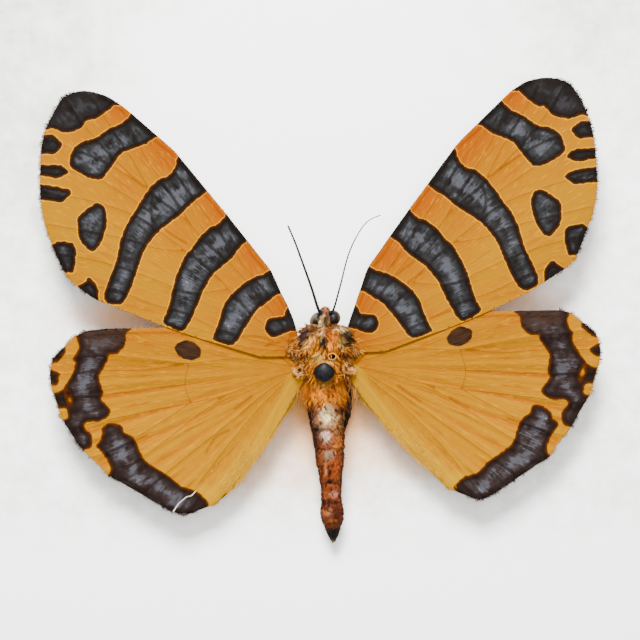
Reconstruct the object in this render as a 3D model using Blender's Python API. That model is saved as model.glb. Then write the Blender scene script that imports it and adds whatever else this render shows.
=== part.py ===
# A spread tiger moth glued to its white mounting board, life size.
# The board lies flat. +Z rises out of it, +Y runs towards the head, and the origin is under the
# middle of the board. Lengths are written in millimetres and turned to metres by MM.

import math
import random

import bmesh
import bpy
from mathutils import Matrix, Vector
from mathutils.geometry import delaunay_2d_cdt

MM = 0.001
GAP = 0.3
WELD = 0.0003

# Board
BOARD_SIDE = 84.0
BOARD_THICK = 5.0
BOARD_BEVEL = 0.4

# Body, in heights above the board's face
BODY_X = 0.5
THORAX_Z = 4.6
SCUTELLUM_Y = -5.35
WAIST_Y = -7.0
WAIST_Z = 4.45
TAIL_X = 1.36
TAIL_Y = -23.4
TAIL_Z = 2.1
TUFT_START_Y = -21.9

# Head
HEAD_Y = 0.45
HEAD_Z = 4.4
HEAD_HALF_WIDTH = 0.62
EYE_RADIUS = 0.78
EYE_BULGE = 0.82

# Wings, in heights above the board's face at the body's centre line
WING_THICK = 0.5
WING_ROOT_EXTRA = 0.7
WING_ROOT_REACH = 2.2
FORE_Z = 5.35
HIND_Z = 4.15
WING_RISE = 0.06
WING_DROOP = 0.0011
HIND_FALL = 0.045
VEIN_HALF_WIDTH = 0.42
VEIN_RIDGE = 0.2
LEADING_POINTS = 9
LEADING_WIDTH = 0.8
VEIN_STEP = 2.1
RIM_STEP = 1.2
MEMBRANE_STEP = 2.7
MEMBRANE_ROW = 0.87
MEMBRANE_SPACING = 1.25
MEMBRANE_RIM_CLEARANCE = 0.8
VEIN_SPACING = 0.5
VEIN_RIM_CLEARANCE = 0.35
FLANK_SPACING = 0.8
FLANK_RIM_CLEARANCE = 0.3
UNDER_RIDGE = 0.6

# Where the wings are hinged, and how the left pair sits against a mirror image of the right
FORE_ROOT = (3.36, -1.68)
HIND_ROOT = (3.78, -4.73)
LEFT_FORE = {"root": (-2.99, -2.0), "turn": 3.9, "stretch": (0.983, 1.014)}
LEFT_HIND = {"root": (-2.68, -5.2), "turn": 5.0, "stretch": (1.008, 0.995)}

# Where the left wings' margins bulge or draw in besides: x, y, shift in x and y, reach
LEFT_FORE["bulges"] = [
    (-23.9, 2.8, -0.1, -0.38, 2.0), (-28.1, 21.8, 0.2, -0.05, 2.2), (-3.25, 0.85, 0.26, 0.06, 2.0),
    (-27.6, 7.1, -0.12, -0.08, 2.0),
]
LEFT_HIND["bulges"] = [
    (-9.24, -17.5, 0.54, -0.49, 2.5), (-6.7, -14.2, 0.35, -0.32, 4.7), (-12.3, -19.75, 0.0, -0.25, 1.2),
    (-20.5, -17.6, 0.1, 0.18, 3.0), (-28.2, -5.5, 0.22, 0.0, 3.0), (-25.6, -12.4, -0.2, -0.1, 1.8),
    (-22.4, -1.15, 0.0, 0.38, 2.6),
]

# Outlines of the right wings seen from above, root first, then round by the leading edge
FORE_OUTLINE = [
    (1.6, -0.9), (3.3, -0.9), (3.7, 1.5), (4.8, 4.9), (6.4, 7.4), (9.3, 11.4), (14.3, 18.3),
    (16.6, 20.4), (19.0, 23.0), (21.5, 24.8), (23.9, 25.4), (25.9, 25.0), (27.2, 23.7),
    (28.0, 21.5), (28.7, 18.6), (29.0, 14.9), (28.6, 11.6), (27.6, 8.6), (26.2, 6.0),
    (24.4, 4.5), (21.0, 2.7), (17.9, 1.1), (14.2, -0.4), (11.8, -1.3), (8.4, -2.7),
    (6.3, -3.3), (4.0, -3.2), (1.6, -2.8),
]
HIND_OUTLINE = [
    (1.6, -3.9), (3.8, -3.4), (5.5, -1.9), (8.4, -0.5), (12.6, 0.5), (16.8, 0.95), (20.0, 0.95),
    (23.1, 1.0), (25.4, 0.9), (27.3, 0.0), (28.8, -1.5), (29.3, -3.2), (29.1, -5.0),
    (28.5, -7.0), (27.3, -9.4), (25.8, -11.9), (24.0, -14.2), (21.5, -16.0), (19.4, -17.2),
    (17.6, -18.5), (16.2, -18.7), (14.7, -18.0), (13.2, -17.6), (11.6, -15.8), (9.5, -13.9),
    (7.8, -11.95), (5.35, -9.3), (3.9, -7.55), (3.3, -6.0), (1.6, -5.6),
]

# Main veins of the right wings, each from the body outwards
FORE_VEINS = {
    "radius": [(3.3, -1.8), (6.1, 2.3), (8.6, 5.7), (11.6, 8.8), (14.2, 11.8), (17.0, 14.3),
               (19.2, 18.3), (21.3, 21.8), (22.8, 24.7)],
    "radius_1": [(12.7, 10.0), (15.2, 14.2), (17.9, 18.6), (19.7, 22.4)],
    "radius_4": [(17.0, 14.3), (20.6, 17.8), (23.7, 21.6), (25.6, 24.5)],
    "media_1": [(17.0, 14.3), (21.0, 17.3), (24.2, 19.0), (27.9, 20.4)],
    "media_2": [(17.4, 12.4), (20.5, 14.7), (23.8, 16.7), (28.3, 18.0)],
    "cubitus": [(3.4, -2.2), (6.8, 0.5), (9.7, 3.9), (11.6, 6.1), (13.9, 8.1), (16.6, 10.3),
                (18.9, 12.0), (22.6, 13.6), (28.6, 15.4)],
    "cubitus_1": [(13.9, 8.1), (17.0, 8.6), (19.6, 9.6), (23.6, 10.7), (28.2, 11.8)],
    "cubitus_2": [(9.7, 3.9), (13.9, 3.8), (17.0, 5.2), (21.2, 7.0), (25.4, 8.3), (27.2, 8.7)],
    "anal": [(3.6, -2.6), (7.9, -1.4), (11.8, 0.2), (14.4, 1.7), (17.9, 2.9), (21.7, 4.7), (25.3, 5.9)],
    "cell_end": [(17.0, 14.3), (17.4, 12.4), (16.6, 10.3)],
}
HIND_VEINS = {
    "radius": [(3.9, -4.4), (9.4, -3.1), (14.7, -3.1), (18.9, -2.3), (23.6, -1.6), (28.3, -1.1)],
    "media_1": [(14.7, -3.1), (19.4, -3.4), (24.1, -3.1), (29.0, -3.1)],
    "media_2": [(15.3, -5.3), (19.9, -5.5), (24.6, -5.7), (28.8, -5.3)],
    "cubitus": [(3.9, -4.9), (8.4, -5.9), (11.0, -6.7), (14.9, -7.3), (19.4, -7.8), (24.1, -8.4), (27.4, -8.9)],
    "cubitus_1": [(14.9, -7.3), (18.4, -9.2), (22.6, -11.3), (25.6, -12.1)],
    "cubitus_2": [(11.0, -6.7), (14.7, -8.9), (18.9, -11.7), (23.4, -14.3)],
    "anal": [(3.9, -5.3), (8.4, -8.4), (12.6, -12.6), (17.4, -18.0)],
    "anal_3": [(3.7, -5.7), (6.3, -8.7), (9.5, -12.6), (12.6, -16.0), (13.9, -17.4)],
    "cell_end": [(14.7, -3.1), (15.3, -5.3), (14.9, -7.3)],
}

# Legs as (x out from the body's centre line, y, height) with a radius at each point
FORE_LEG = [
    (0.7, -1.9, 3.2, 0.42), (0.9, -0.9, 2.0, 0.4), (1.15, 0.2, 1.55, 0.33), (1.2, 0.55, 1.2, 0.3),
    (1.25, -0.3, 0.75, 0.28), (1.5, -1.6, 0.62, 0.26), (1.7, -2.5, 0.58, 0.2),
]
MID_LEG = [
    (0.9, -3.4, 2.9, 0.45), (1.7, -3.5, 1.9, 0.42), (2.7, -3.2, 1.8, 0.35), (3.5, -3.0, 1.7, 0.3),
    (3.7, -3.9, 1.2, 0.28), (3.8, -5.1, 0.75, 0.27), (3.4, -6.3, 0.6, 0.24), (2.9, -6.9, 0.56, 0.2),
]
HIND_LEG = [
    (0.9, -5.3, 3.0, 0.48), (1.7, -6.1, 2.1, 0.42), (2.35, -6.9, 1.95, 0.36), (2.55, -7.6, 1.9, 0.34),
    (2.55, -9.2, 1.6, 0.36), (2.35, -10.6, 1.2, 0.28), (1.8, -12.1, 0.8, 0.26), (1.3, -13.8, 0.6, 0.25),
    (1.1, -15.0, 0.56, 0.2),
]
LEFT_HIND_LEG = [
    (0.8, -5.35, 3.0, 0.46), (1.3, -6.1, 2.1, 0.42), (1.5, -6.9, 1.9, 0.36), (1.55, -7.6, 1.85, 0.34),
    (1.55, -9.2, 1.55, 0.36), (1.4, -10.6, 1.2, 0.28), (1.15, -12.1, 0.8, 0.26), (0.9, -13.8, 0.6, 0.25),
    (0.75, -15.0, 0.56, 0.2),
]
LEG_SIDES = 8

# Antennae from the head outwards as (x, y, height); the left one is raised more
ANTENNA_RIGHT = [
    (1.0, 0.75, 5.75), (1.45, 1.2, 6.0), (2.1, 3.5, 6.5), (3.0, 6.9, 6.9), (4.3, 9.5, 7.0), (6.4, 11.0, 6.7),
]
ANTENNA_LEFT = [
    (0.15, 0.75, 5.75), (-0.2, 1.2, 6.0), (-0.9, 3.4, 7.0), (-1.9, 6.2, 8.3), (-2.6, 8.1, 9.0),
    (-3.35, 9.85, 9.4),
]
ANTENNA_RADIUS = 0.25
ANTENNA_TIP_RADIUS = 0.12
ANTENNA_TAPER_START = 0.55

# Locks of long scales
LOCK_WIDTH = 0.95
LOCK_THICK = 0.5
LOCK_SINK = 0.35


def clear_scene():
    for obj in list(bpy.data.objects):
        bpy.data.objects.remove(obj)


def material(name, colour, roughness, metallic=0.0):
    mat = bpy.data.materials.new(name)
    mat.use_nodes = True
    shader = mat.node_tree.nodes["Principled BSDF"]
    shader.inputs["Base Color"].default_value = (*colour, 1.0)
    shader.inputs["Roughness"].default_value = roughness
    shader.inputs["Metallic"].default_value = metallic
    return mat


def add_object(name, bm, mat=None, smooth=True):
    """Turns a bmesh in millimetres into an object in metres."""
    bmesh.ops.recalc_face_normals(bm, faces=bm.faces)
    bmesh.ops.scale(bm, vec=(MM, MM, MM), verts=bm.verts)
    mesh = bpy.data.meshes.new(name)
    bm.to_mesh(mesh)
    bm.free()
    obj = bpy.data.objects.new(name, mesh)
    if mat:
        obj.data.materials.append(mat)
    bpy.context.scene.collection.objects.link(obj)
    if smooth:
        mesh.shade_smooth()
        mesh.set_sharp_from_angle(angle=math.radians(40))
    return obj


def spline(points, step, closed=False):
    """Points about step apart on a smooth curve through the given points."""
    points = [Vector(p) for p in points]
    count = len(points)
    spans = count if closed else count - 1
    curve = []
    for i in range(spans):
        if closed:
            a, b, c, d = (points[(i + k) % count] for k in (-1, 0, 1, 2))
        else:
            a, b, c, d = (points[min(max(i + k, 0), count - 1)] for k in (-1, 0, 1, 2))
        parts = max(1, round((c - b).length / step))
        for k in range(parts):
            t = k / parts
            curve.append(0.5 * (2 * b + (c - a) * t + (2 * a - 5 * b + 4 * c - d) * t**2
                                + (3 * b - a - 3 * c + d) * t**3))
    if not closed:
        curve.append(points[-1])
    return curve


def ring(bm, centre, side, up, half_width, half_height, sides):
    """The edges of an ellipse of vertices round centre."""
    forward = side.cross(up)
    frame = Matrix((side * half_width, up * half_height, forward)).transposed().to_4x4()
    frame.translation = centre
    made = bmesh.ops.create_circle(bm, cap_ends=False, radius=1.0, segments=sides, matrix=frame)
    loop = set(made["verts"])
    return [edge for edge in bm.edges if edge.verts[0] in loop and edge.verts[1] in loop]


def sweep(bm, path, half_widths, half_heights, sides=12, first_side=(1, 0, 0), grow=0.0):
    """A closed body of elliptical sections along a path, with flat ends."""
    path = [Vector(p) for p in path]
    last = len(path) - 1
    tangents = [(path[min(i + 1, last)] - path[max(i - 1, 0)]).normalized() for i in range(last + 1)]
    path[0] = path[0] - tangents[0] * grow
    path[last] = path[last] + tangents[last] * grow
    side = Vector(first_side)
    before = None
    first = None
    for i, centre in enumerate(path):
        side = (side - tangents[i] * side.dot(tangents[i])).normalized()
        up = side.cross(tangents[i]).normalized()
        edges = ring(bm, centre, side, up, half_widths[i] + grow, half_heights[i] + grow, sides)
        if before:
            bmesh.ops.bridge_loops(bm, edges=before + edges)
        else:
            first = edges
        before = edges
    bmesh.ops.edgeloop_fill(bm, edges=first)
    bmesh.ops.edgeloop_fill(bm, edges=before)


def applied(obj):
    """Bakes the object's modifiers into its mesh and keeps its largest closed surface."""
    graph = bpy.context.evaluated_depsgraph_get()
    mesh = bpy.data.meshes.new_from_object(obj.evaluated_get(graph))
    obj.modifiers.clear()
    old = obj.data
    obj.data = mesh
    mesh.name = old.name
    bpy.data.meshes.remove(old)
    bm = bmesh.new()
    bm.from_mesh(mesh)
    bmesh.ops.remove_doubles(bm, verts=bm.verts, dist=WELD * MM)
    groups = []
    unseen = set(bm.verts)
    while unseen:
        stack = [unseen.pop()]
        group = set(stack)
        while stack:
            for edge in stack.pop().link_edges:
                for vert in edge.verts:
                    if vert in unseen:
                        unseen.discard(vert)
                        group.add(vert)
                        stack.append(vert)
        groups.append(group)
    groups.sort(key=len)
    loose = [vert for group in groups[:-1] for vert in group]
    bmesh.ops.delete(bm, geom=loose, context="VERTS")
    bmesh.ops.triangulate(bm, faces=bm.faces)
    bm.to_mesh(mesh)
    bm.free()
    return obj


def combine(obj, others, operation):
    """Joins the closed meshes of others to obj, or cuts them out of it, and removes them."""
    group = bpy.data.collections.new(obj.name + "_tools")
    bpy.context.scene.collection.children.link(group)
    for other in others:
        bpy.context.scene.collection.objects.unlink(other)
        group.objects.link(other)
    modifier = obj.modifiers.new(operation.lower(), "BOOLEAN")
    modifier.operation = operation
    modifier.operand_type = "COLLECTION"
    modifier.collection = group
    modifier.solver = "MANIFOLD"
    applied(obj)
    for other in others:
        bpy.data.objects.remove(other)
    bpy.data.collections.remove(group)
    return obj


def above_board(x, y, height):
    return Vector((x, y, BOARD_THICK + height))


# Body sections as (y, half width, half height)
THORAX_SECTIONS = [
    (-0.45, 0.75, 0.85), (-0.75, 1.35, 1.5), (-1.4, 1.95, 2.15), (-2.4, 2.3, 2.6), (-3.6, 2.4, 2.7),
    (-4.8, 2.3, 2.55), (-5.8, 1.95, 2.2), (-6.5, 1.45, 1.7), (-6.9, 0.95, 1.15),
]
HEAD_SECTIONS = [
    (1.35, 0.3, 0.35), (1.15, 0.55, 0.75), (0.8, 0.9, 1.05), (0.4, 1.1, 1.15), (-0.1, 1.05, 1.1),
    (-0.5, 0.85, 0.9), (-0.9, 0.6, 0.7),
]
ABDOMEN_HALF_WIDTHS = [
    (-6.2, 1.2), (-7.2, 1.75), (-8.9, 1.9), (-10.5, 1.75), (-12.6, 1.68), (-14.7, 1.5), (-16.3, 1.24),
    (-17.5, 1.07), (-18.9, 1.03), (-20.0, 1.2), (-21.0, 1.15), (-21.9, 0.85),
]
ABDOMEN_SEGMENTS = 8
SEGMENT_PINCH = 0.07


def between(table, y):
    """The value at y in a table of (y, value), y falling."""
    for (y0, a), (y1, b) in zip(table, table[1:]):
        if y0 >= y >= y1:
            t = (y0 - y) / (y0 - y1)
            t = t * t * (3 - 2 * t)
            return a + (b - a) * t
    return table[0][1] if y > table[0][0] else table[-1][1]


def abdomen_centre(y):
    along = min(max((WAIST_Y - y) / (WAIST_Y - TAIL_Y), -0.1), 1.0)
    x = BODY_X + (TAIL_X - BODY_X) * along**0.85 if along > 0 else BODY_X
    height = WAIST_Z + (TAIL_Z - WAIST_Z) * max(along, 0.0)**1.2
    return above_board(x, y, height)


def thorax_body(bm, grow=0.0):
    path = [above_board(BODY_X, y, THORAX_Z) for y, _, _ in THORAX_SECTIONS]
    widths = [w for _, w, _ in THORAX_SECTIONS]
    heights = [h for _, _, h in THORAX_SECTIONS]
    sweep(bm, path, widths, heights, sides=20, grow=grow)


def abdomen_body(bm, grow=0.0):
    path, widths, heights = [], [], []
    first, last = ABDOMEN_HALF_WIDTHS[0][0], ABDOMEN_HALF_WIDTHS[-1][0]
    steps_per_segment = 3
    count = ABDOMEN_SEGMENTS * steps_per_segment
    for i in range(count + 1):
        y = first + (last - first) * i / count
        groove = SEGMENT_PINCH if i % steps_per_segment == 0 and 0 < i < count else 0.0
        half = between(ABDOMEN_HALF_WIDTHS, y) * (1 - groove)
        path.append(abdomen_centre(y))
        widths.append(half)
        heights.append(half * 0.95)
    sweep(bm, path, widths, heights, sides=16, grow=grow)


def head_body(bm, grow=0.0):
    path = [above_board(BODY_X + 0.05, y, HEAD_Z) for y, _, _ in HEAD_SECTIONS]
    widths = [w for _, w, _ in HEAD_SECTIONS]
    heights = [h for _, _, h in HEAD_SECTIONS]
    sweep(bm, path, widths, heights, sides=16, grow=grow)


def new_tool(build, *args, **kwargs):
    """An object built only to cut or join another."""
    bm = bmesh.new()
    build(bm, *args, **kwargs)
    return add_object("tool", bm, smooth=False)


def lock(bm, root, out, lie, length, lift=0.35, grow=0.0):
    """A flat tapered lock: its root is sunk along out, and it bends over to follow lie."""
    root, out, lie = Vector(root), Vector(out).normalized(), Vector(lie).normalized()
    across = out.cross(lie).normalized()
    stations = [
        (root - out * LOCK_SINK - lie * 0.1, 0.85, 1.0),
        (root + out * lift * 0.55 + lie * length * 0.25, 1.0, 1.0),
        (root + out * lift * 0.95 + lie * length * 0.62, 0.75, 0.75),
        (root + out * lift + lie * length, 0.22, 0.3),
    ]
    path = [centre for centre, _, _ in stations]
    sweep(bm, path, [LOCK_WIDTH / 2 * w for _, w, _ in stations], [LOCK_THICK / 2 * t for _, _, t in stations],
          sides=6, first_side=across, grow=grow)


# Wings

def placed_left(point, right_root, left):
    """Where a point of the right wing lies on the left one."""
    dx, dy = point[0] - right_root[0], point[1] - right_root[1]
    dx, dy = dx * left["stretch"][0], dy * left["stretch"][1]
    turn = -math.radians(left["turn"])
    x = left["root"][0] - dx * math.cos(turn) + dy * math.sin(turn)
    y = left["root"][1] + dx * math.sin(turn) + dy * math.cos(turn)
    shift_x = shift_y = 0.0
    for centre_x, centre_y, by_x, by_y, reach in left["bulges"]:
        amount = math.exp(-((x - centre_x) ** 2 + (y - centre_y) ** 2) / reach**2)
        shift_x += by_x * amount
        shift_y += by_y * amount
    return (x + shift_x, y + shift_y)


def fore_height(x, y):
    span = abs(x - BODY_X)
    return FORE_Z + WING_RISE * span - WING_DROOP * span**2


def hind_height(x, y):
    span = abs(x - BODY_X)
    return HIND_Z + WING_RISE * span - WING_DROOP * span**2 - HIND_FALL * max(0.0, -1.0 - y)


def distance_to_line(point, line):
    best = 1e9
    for a, b in zip(line, line[1:]):
        along = b - a
        t = max(0.0, min(1.0, (point - a).dot(along) / max(along.length_squared, 1e-12)))
        best = min(best, (point - a - along * t).length)
    return best


def inside(point, outline):
    crossings = False
    for a, b in zip(outline, outline[1:] + outline[:1]):
        if (a.y > point.y) != (b.y > point.y):
            if point.x < a.x + (point.y - a.y) / (b.y - a.y) * (b.x - a.x):
                crossings = not crossings
    return crossings


class Layout:
    """The flat points and edges that a wing's triangles are drawn through."""

    def __init__(self, outline):
        self.outline = outline
        self.points = list(outline)
        self.edges = []

    def add_line(self, line, spacing, rim_clearance):
        """Adds the points of a line that keep their distance from what is there already."""
        held = None
        for point in line:
            clear = (inside(point, self.outline)
                     and distance_to_line(point, self.outline + self.outline[:1]) > rim_clearance
                     and all((point - other).length > spacing for other in self.points))
            if not clear:
                held = None
                continue
            self.points.append(point)
            if held is not None:
                self.edges.append((held, len(self.points) - 1))
            held = len(self.points) - 1


def wing_layout(outline, veins):
    layout = Layout(outline)
    for line in veins:
        layout.add_line(line, VEIN_SPACING, VEIN_RIM_CLEARANCE)
    for line in veins:
        for sign in (-1, 1):
            flank = []
            for i, point in enumerate(line):
                along = (line[min(i + 1, len(line) - 1)] - line[max(i - 1, 0)]).normalized()
                flank.append(point + sign * VEIN_HALF_WIDTH * Vector((-along.y, along.x)))
            layout.add_line(flank, VEIN_HALF_WIDTH * FLANK_SPACING, FLANK_RIM_CLEARANCE)
    xs = [p.x for p in outline]
    ys = [p.y for p in outline]
    row_step = MEMBRANE_STEP * MEMBRANE_ROW
    rows = int((max(ys) - min(ys)) / row_step) + 2
    columns = int((max(xs) - min(xs)) / MEMBRANE_STEP) + 2
    for row in range(rows):
        for column in range(columns):
            x = min(xs) + (column + 0.5 * (row % 2)) * MEMBRANE_STEP
            layout.add_line([Vector((x, min(ys) + row * row_step))], MEMBRANE_SPACING, MEMBRANE_RIM_CLEARANCE)
    return layout


def wing(bm, outline, leading, veins, height, root, grow=0.0):
    """A thin closed wing, split into the same triangles above and below, with its veins raised."""
    rim = spline(outline, RIM_STEP, closed=True)
    leading = [Vector(p) for p in leading]
    lines = [spline(line, VEIN_STEP) for line in veins]
    layout = wing_layout(rim, lines)
    flat, _, faces, _, _, _ = delaunay_2d_cdt(
        layout.points, layout.edges, [list(range(len(rim)))], 1, 1e-4, True)
    root = Vector(root)
    top, bottom = [], []
    for point in flat:
        crest = min((distance_to_line(point, line) for line in lines), default=VEIN_HALF_WIDTH)
        edge = distance_to_line(point, leading)
        ridge = VEIN_RIDGE * max(0.0, 1.0 - crest / VEIN_HALF_WIDTH, 1.0 - edge / LEADING_WIDTH)
        near = math.exp(-((point - root).length / WING_ROOT_REACH) ** 2)
        half = WING_THICK / 2 + WING_ROOT_EXTRA / 2 * near + grow
        middle = height(point.x, point.y)
        top.append(bm.verts.new(above_board(point.x, point.y, middle + half + ridge)))
        bottom.append(bm.verts.new(above_board(point.x, point.y, middle - half - ridge * UNDER_RIDGE)))
    for face in faces:
        bm.faces.new([top[i] for i in face])
        bm.faces.new([bottom[i] for i in reversed(face)])
    pairs = dict(zip(top, bottom))
    for edge in [e for e in bm.edges if e.is_boundary and e.verts[0] in pairs]:
        a, b = edge.verts
        bm.faces.new((a, b, pairs[b]))
        bm.faces.new((a, pairs[b], pairs[a]))


def wing_shape(which, side):
    """The outline, leading edge, veins, height function and root of one wing."""
    outline = FORE_OUTLINE if which == "fore" else HIND_OUTLINE
    veins = FORE_VEINS if which == "fore" else HIND_VEINS
    root = FORE_ROOT if which == "fore" else HIND_ROOT
    height = fore_height if which == "fore" else hind_height
    lines = list(veins.values())
    leading = outline[1:LEADING_POINTS]
    if side == "left":
        left = LEFT_FORE if which == "fore" else LEFT_HIND
        outline = [placed_left(p, root, left) for p in reversed(outline)]
        leading = [placed_left(p, root, left) for p in leading]
        lines = [[placed_left(p, root, left) for p in line] for line in lines]
        root = left["root"]
    return outline, leading, lines, height, root


def wing_clearance(bm, which, side):
    """A wing without veins, thicker all round by the gap, to cut its neighbours with."""
    outline, leading, _, height, root = wing_shape(which, side)
    wing(bm, outline, leading, [], height, root, grow=GAP + VEIN_RIDGE / 2)


def add_wing(which, side):
    bm = bmesh.new()
    wing(bm, *wing_shape(which, side))
    obj = add_object(f"{which}wing_{side}", bm, MATERIALS[which + "wing"], smooth=False)
    return combine(obj, [new_tool(thorax_body, grow=GAP)], "DIFFERENCE")


# Body parts

def add_board():
    bm = bmesh.new()
    bmesh.ops.create_cube(bm, size=1.0)
    bmesh.ops.scale(bm, vec=(BOARD_SIDE, BOARD_SIDE, BOARD_THICK), verts=bm.verts)
    bmesh.ops.translate(bm, vec=(0, 0, BOARD_THICK / 2), verts=bm.verts)
    bmesh.ops.bevel(bm, geom=bm.edges, offset=BOARD_BEVEL, segments=1, profile=0.5,
                    affect="EDGES", material=-1)
    add_object("mounting_board", bm, MATERIALS["card"], smooth=False)


def add_glue():
    """The dab of glue that the thorax stands on."""
    bm = bmesh.new()
    heights = [GAP, GAP + 0.35, 1.2, 2.6]
    radii = [1.15, 1.1, 0.95, 0.85]
    path = [above_board(BODY_X, -3.9, h) for h in heights]
    sweep(bm, path, radii, [r * 1.1 for r in radii], sides=14)
    glue = add_object("glue_dab", bm, MATERIALS["glue"])
    combine(glue, [new_tool(thorax_body, grow=GAP)], "DIFFERENCE")


def on_thorax(y, angle):
    """A point of the thorax at y, angle degrees from straight up, with its outward direction."""
    widths = [(row[0], row[1]) for row in THORAX_SECTIONS]
    heights = [(row[0], row[2]) for row in THORAX_SECTIONS]
    half_width, half_height = between(widths, y), between(heights, y)
    turn = math.radians(angle)
    point = above_board(BODY_X + half_width * math.sin(turn), y, THORAX_Z + half_height * math.cos(turn))
    slope = (between(heights, y + 0.2) - between(heights, y - 0.2)) / 0.4
    out = Vector((math.sin(turn) / half_width, -slope / half_height * 0.6, math.cos(turn) / half_height))
    return point, out.normalized()


def thorax_locks():
    """Rows of locks that lie back over the thorax, and a collar that leans towards the head."""
    draw = random.Random(7)
    locks = []
    for angle in (-25, -2, 22):
        locks.append((-1.9, angle, -1.0, 1.6))
    for angle in (-24, 1, 26):
        locks.append((-3.1, angle, -1.0, 1.5))
    for angle in (-72, -46, 46, 72):
        locks.append((-4.8, angle, -1.0, 1.5))
    for angle in (-75, -50, -25, 0, 25, 50, 75):
        locks.append((-6.1, angle, -1.0, 1.75))
    for angle in (-82, -50, -17, 15, 47, 79):
        locks.append((-1.2, angle, 0.9, 1.0))
    tools = []
    for y, angle, lie, length in locks:
        angle += draw.uniform(-4, 4)
        point, out = on_thorax(y + draw.uniform(-0.12, 0.12), angle)
        spread = Vector((0.5 * math.sin(math.radians(angle)) + draw.uniform(-0.12, 0.12), lie, 0))
        lay = spread - out * spread.dot(out)
        tools.append(new_tool(lock, point, out, lay, length * draw.uniform(0.9, 1.1)))
    return tools


def scutellum(bm):
    """The smooth domed shield between the hind wings."""
    point, out = on_thorax(SCUTELLUM_Y, 0)
    frame = Matrix.Translation(point - out * 0.35) @ out.to_track_quat("Z", "Y").to_matrix().to_4x4()
    made = bmesh.ops.create_uvsphere(bm, u_segments=16, v_segments=8, radius=1.0, matrix=frame)
    bmesh.ops.scale(bm, vec=(1.15, 1.1, 0.6), space=frame.inverted(), verts=made["verts"])


def add_thorax():
    bm = bmesh.new()
    thorax_body(bm)
    thorax = add_object("thorax", bm, MATERIALS["fur"])
    combine(thorax, thorax_locks() + [new_tool(scutellum)], "UNION")
    cutters = [new_tool(abdomen_body, grow=GAP), new_tool(head_body, grow=GAP)]
    for which in ("fore", "hind"):
        for side in ("left", "right"):
            cutters.append(new_tool(wing_clearance, which, side))
    for cutter in cutters + tegula_pieces(-1, grow=GAP) + tegula_pieces(1, grow=GAP):
        combine(thorax, [cutter], "DIFFERENCE")


TEGULA = {
    "x": 1.85, "y": -1.9, "z": 6.75, "half": (0.85, 1.5, 0.62), "lean": 24,
    "locks": [(-0.25, -0.5, 1.9), (0.3, -0.75, 1.9), (0.55, -0.1, 1.7), (0.5, 0.6, 1.5)],
}


def tegula_frame(side):
    place = above_board(BODY_X + side * TEGULA["x"], TEGULA["y"], TEGULA["z"])
    return Matrix.Translation(place) @ Matrix.Rotation(math.radians(side * TEGULA["lean"]), 4, "Y")


def tegula_body(bm, side, grow=0.0):
    frame = tegula_frame(side)
    half = [h + grow for h in TEGULA["half"]]
    made = bmesh.ops.create_uvsphere(bm, u_segments=14, v_segments=8, radius=1.0, matrix=frame)
    bmesh.ops.scale(bm, vec=half, space=frame.inverted(), verts=made["verts"])


def tegula_pieces(side, grow=0.0):
    """The scaly flap over a fore wing's hinge, then the locks that trail from it."""
    frame = tegula_frame(side)
    pieces = [new_tool(tegula_body, side, grow=grow)]
    for x, y, length in TEGULA["locks"]:
        root = frame @ Vector((side * x, y, TEGULA["half"][2] * 0.8))
        out = (frame.to_3x3() @ Vector((side * x * 0.5, 0, 1))).normalized()
        lie = Vector((side * (0.25 + x * 0.9), -1.0, -0.12))
        lie -= out * lie.dot(out) * 0.7
        pieces.append(new_tool(lock, root, out, lie, length, lift=0.2, grow=grow))
    return pieces


def add_tegula(side, name):
    tegula, *locks = tegula_pieces(side)
    tegula.name = tegula.data.name = f"tegula_{name}"
    tegula.data.materials.append(MATERIALS["fur"])
    combine(tegula, locks, "UNION")
    for which in ("fore", "hind"):
        combine(tegula, [new_tool(wing_clearance, which, name)], "DIFFERENCE")


def add_abdomen():
    bm = bmesh.new()
    abdomen_body(bm)
    abdomen = add_object("abdomen", bm, MATERIALS["abdomen"])
    combine(abdomen, [new_tool(thorax_body, grow=GAP)], "DIFFERENCE")


def add_tail_tuft():
    """The dark tapered tuft that ends the abdomen."""
    bm = bmesh.new()
    stations = [(TUFT_START_Y - GAP, 0.8), (-22.3, 0.68), (-22.8, 0.48), (TAIL_Y, 0.14)]
    path = [abdomen_centre(y) for y, _ in stations]
    radii = [r for _, r in stations]
    sweep(bm, path, radii, radii, sides=12)
    add_object("tail_tuft", bm, MATERIALS["dark"])


def side_block(bm, side, start):
    """A block that covers all of the head beyond start from its middle, on one side."""
    made = bmesh.ops.create_cube(bm, size=4.0)
    middle = above_board(BODY_X + 0.05 + side * (start + 2.0), HEAD_Y, HEAD_Z)
    bmesh.ops.translate(bm, vec=middle, verts=made["verts"])


def add_head():
    bm = bmesh.new()
    head_body(bm)
    head = add_object("head", bm, MATERIALS["fur"])
    for side in (-1, 1):
        combine(head, [new_tool(side_block, side, HEAD_HALF_WIDTH)], "DIFFERENCE")
    combine(head, [new_tool(thorax_body, grow=GAP)], "DIFFERENCE")


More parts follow.
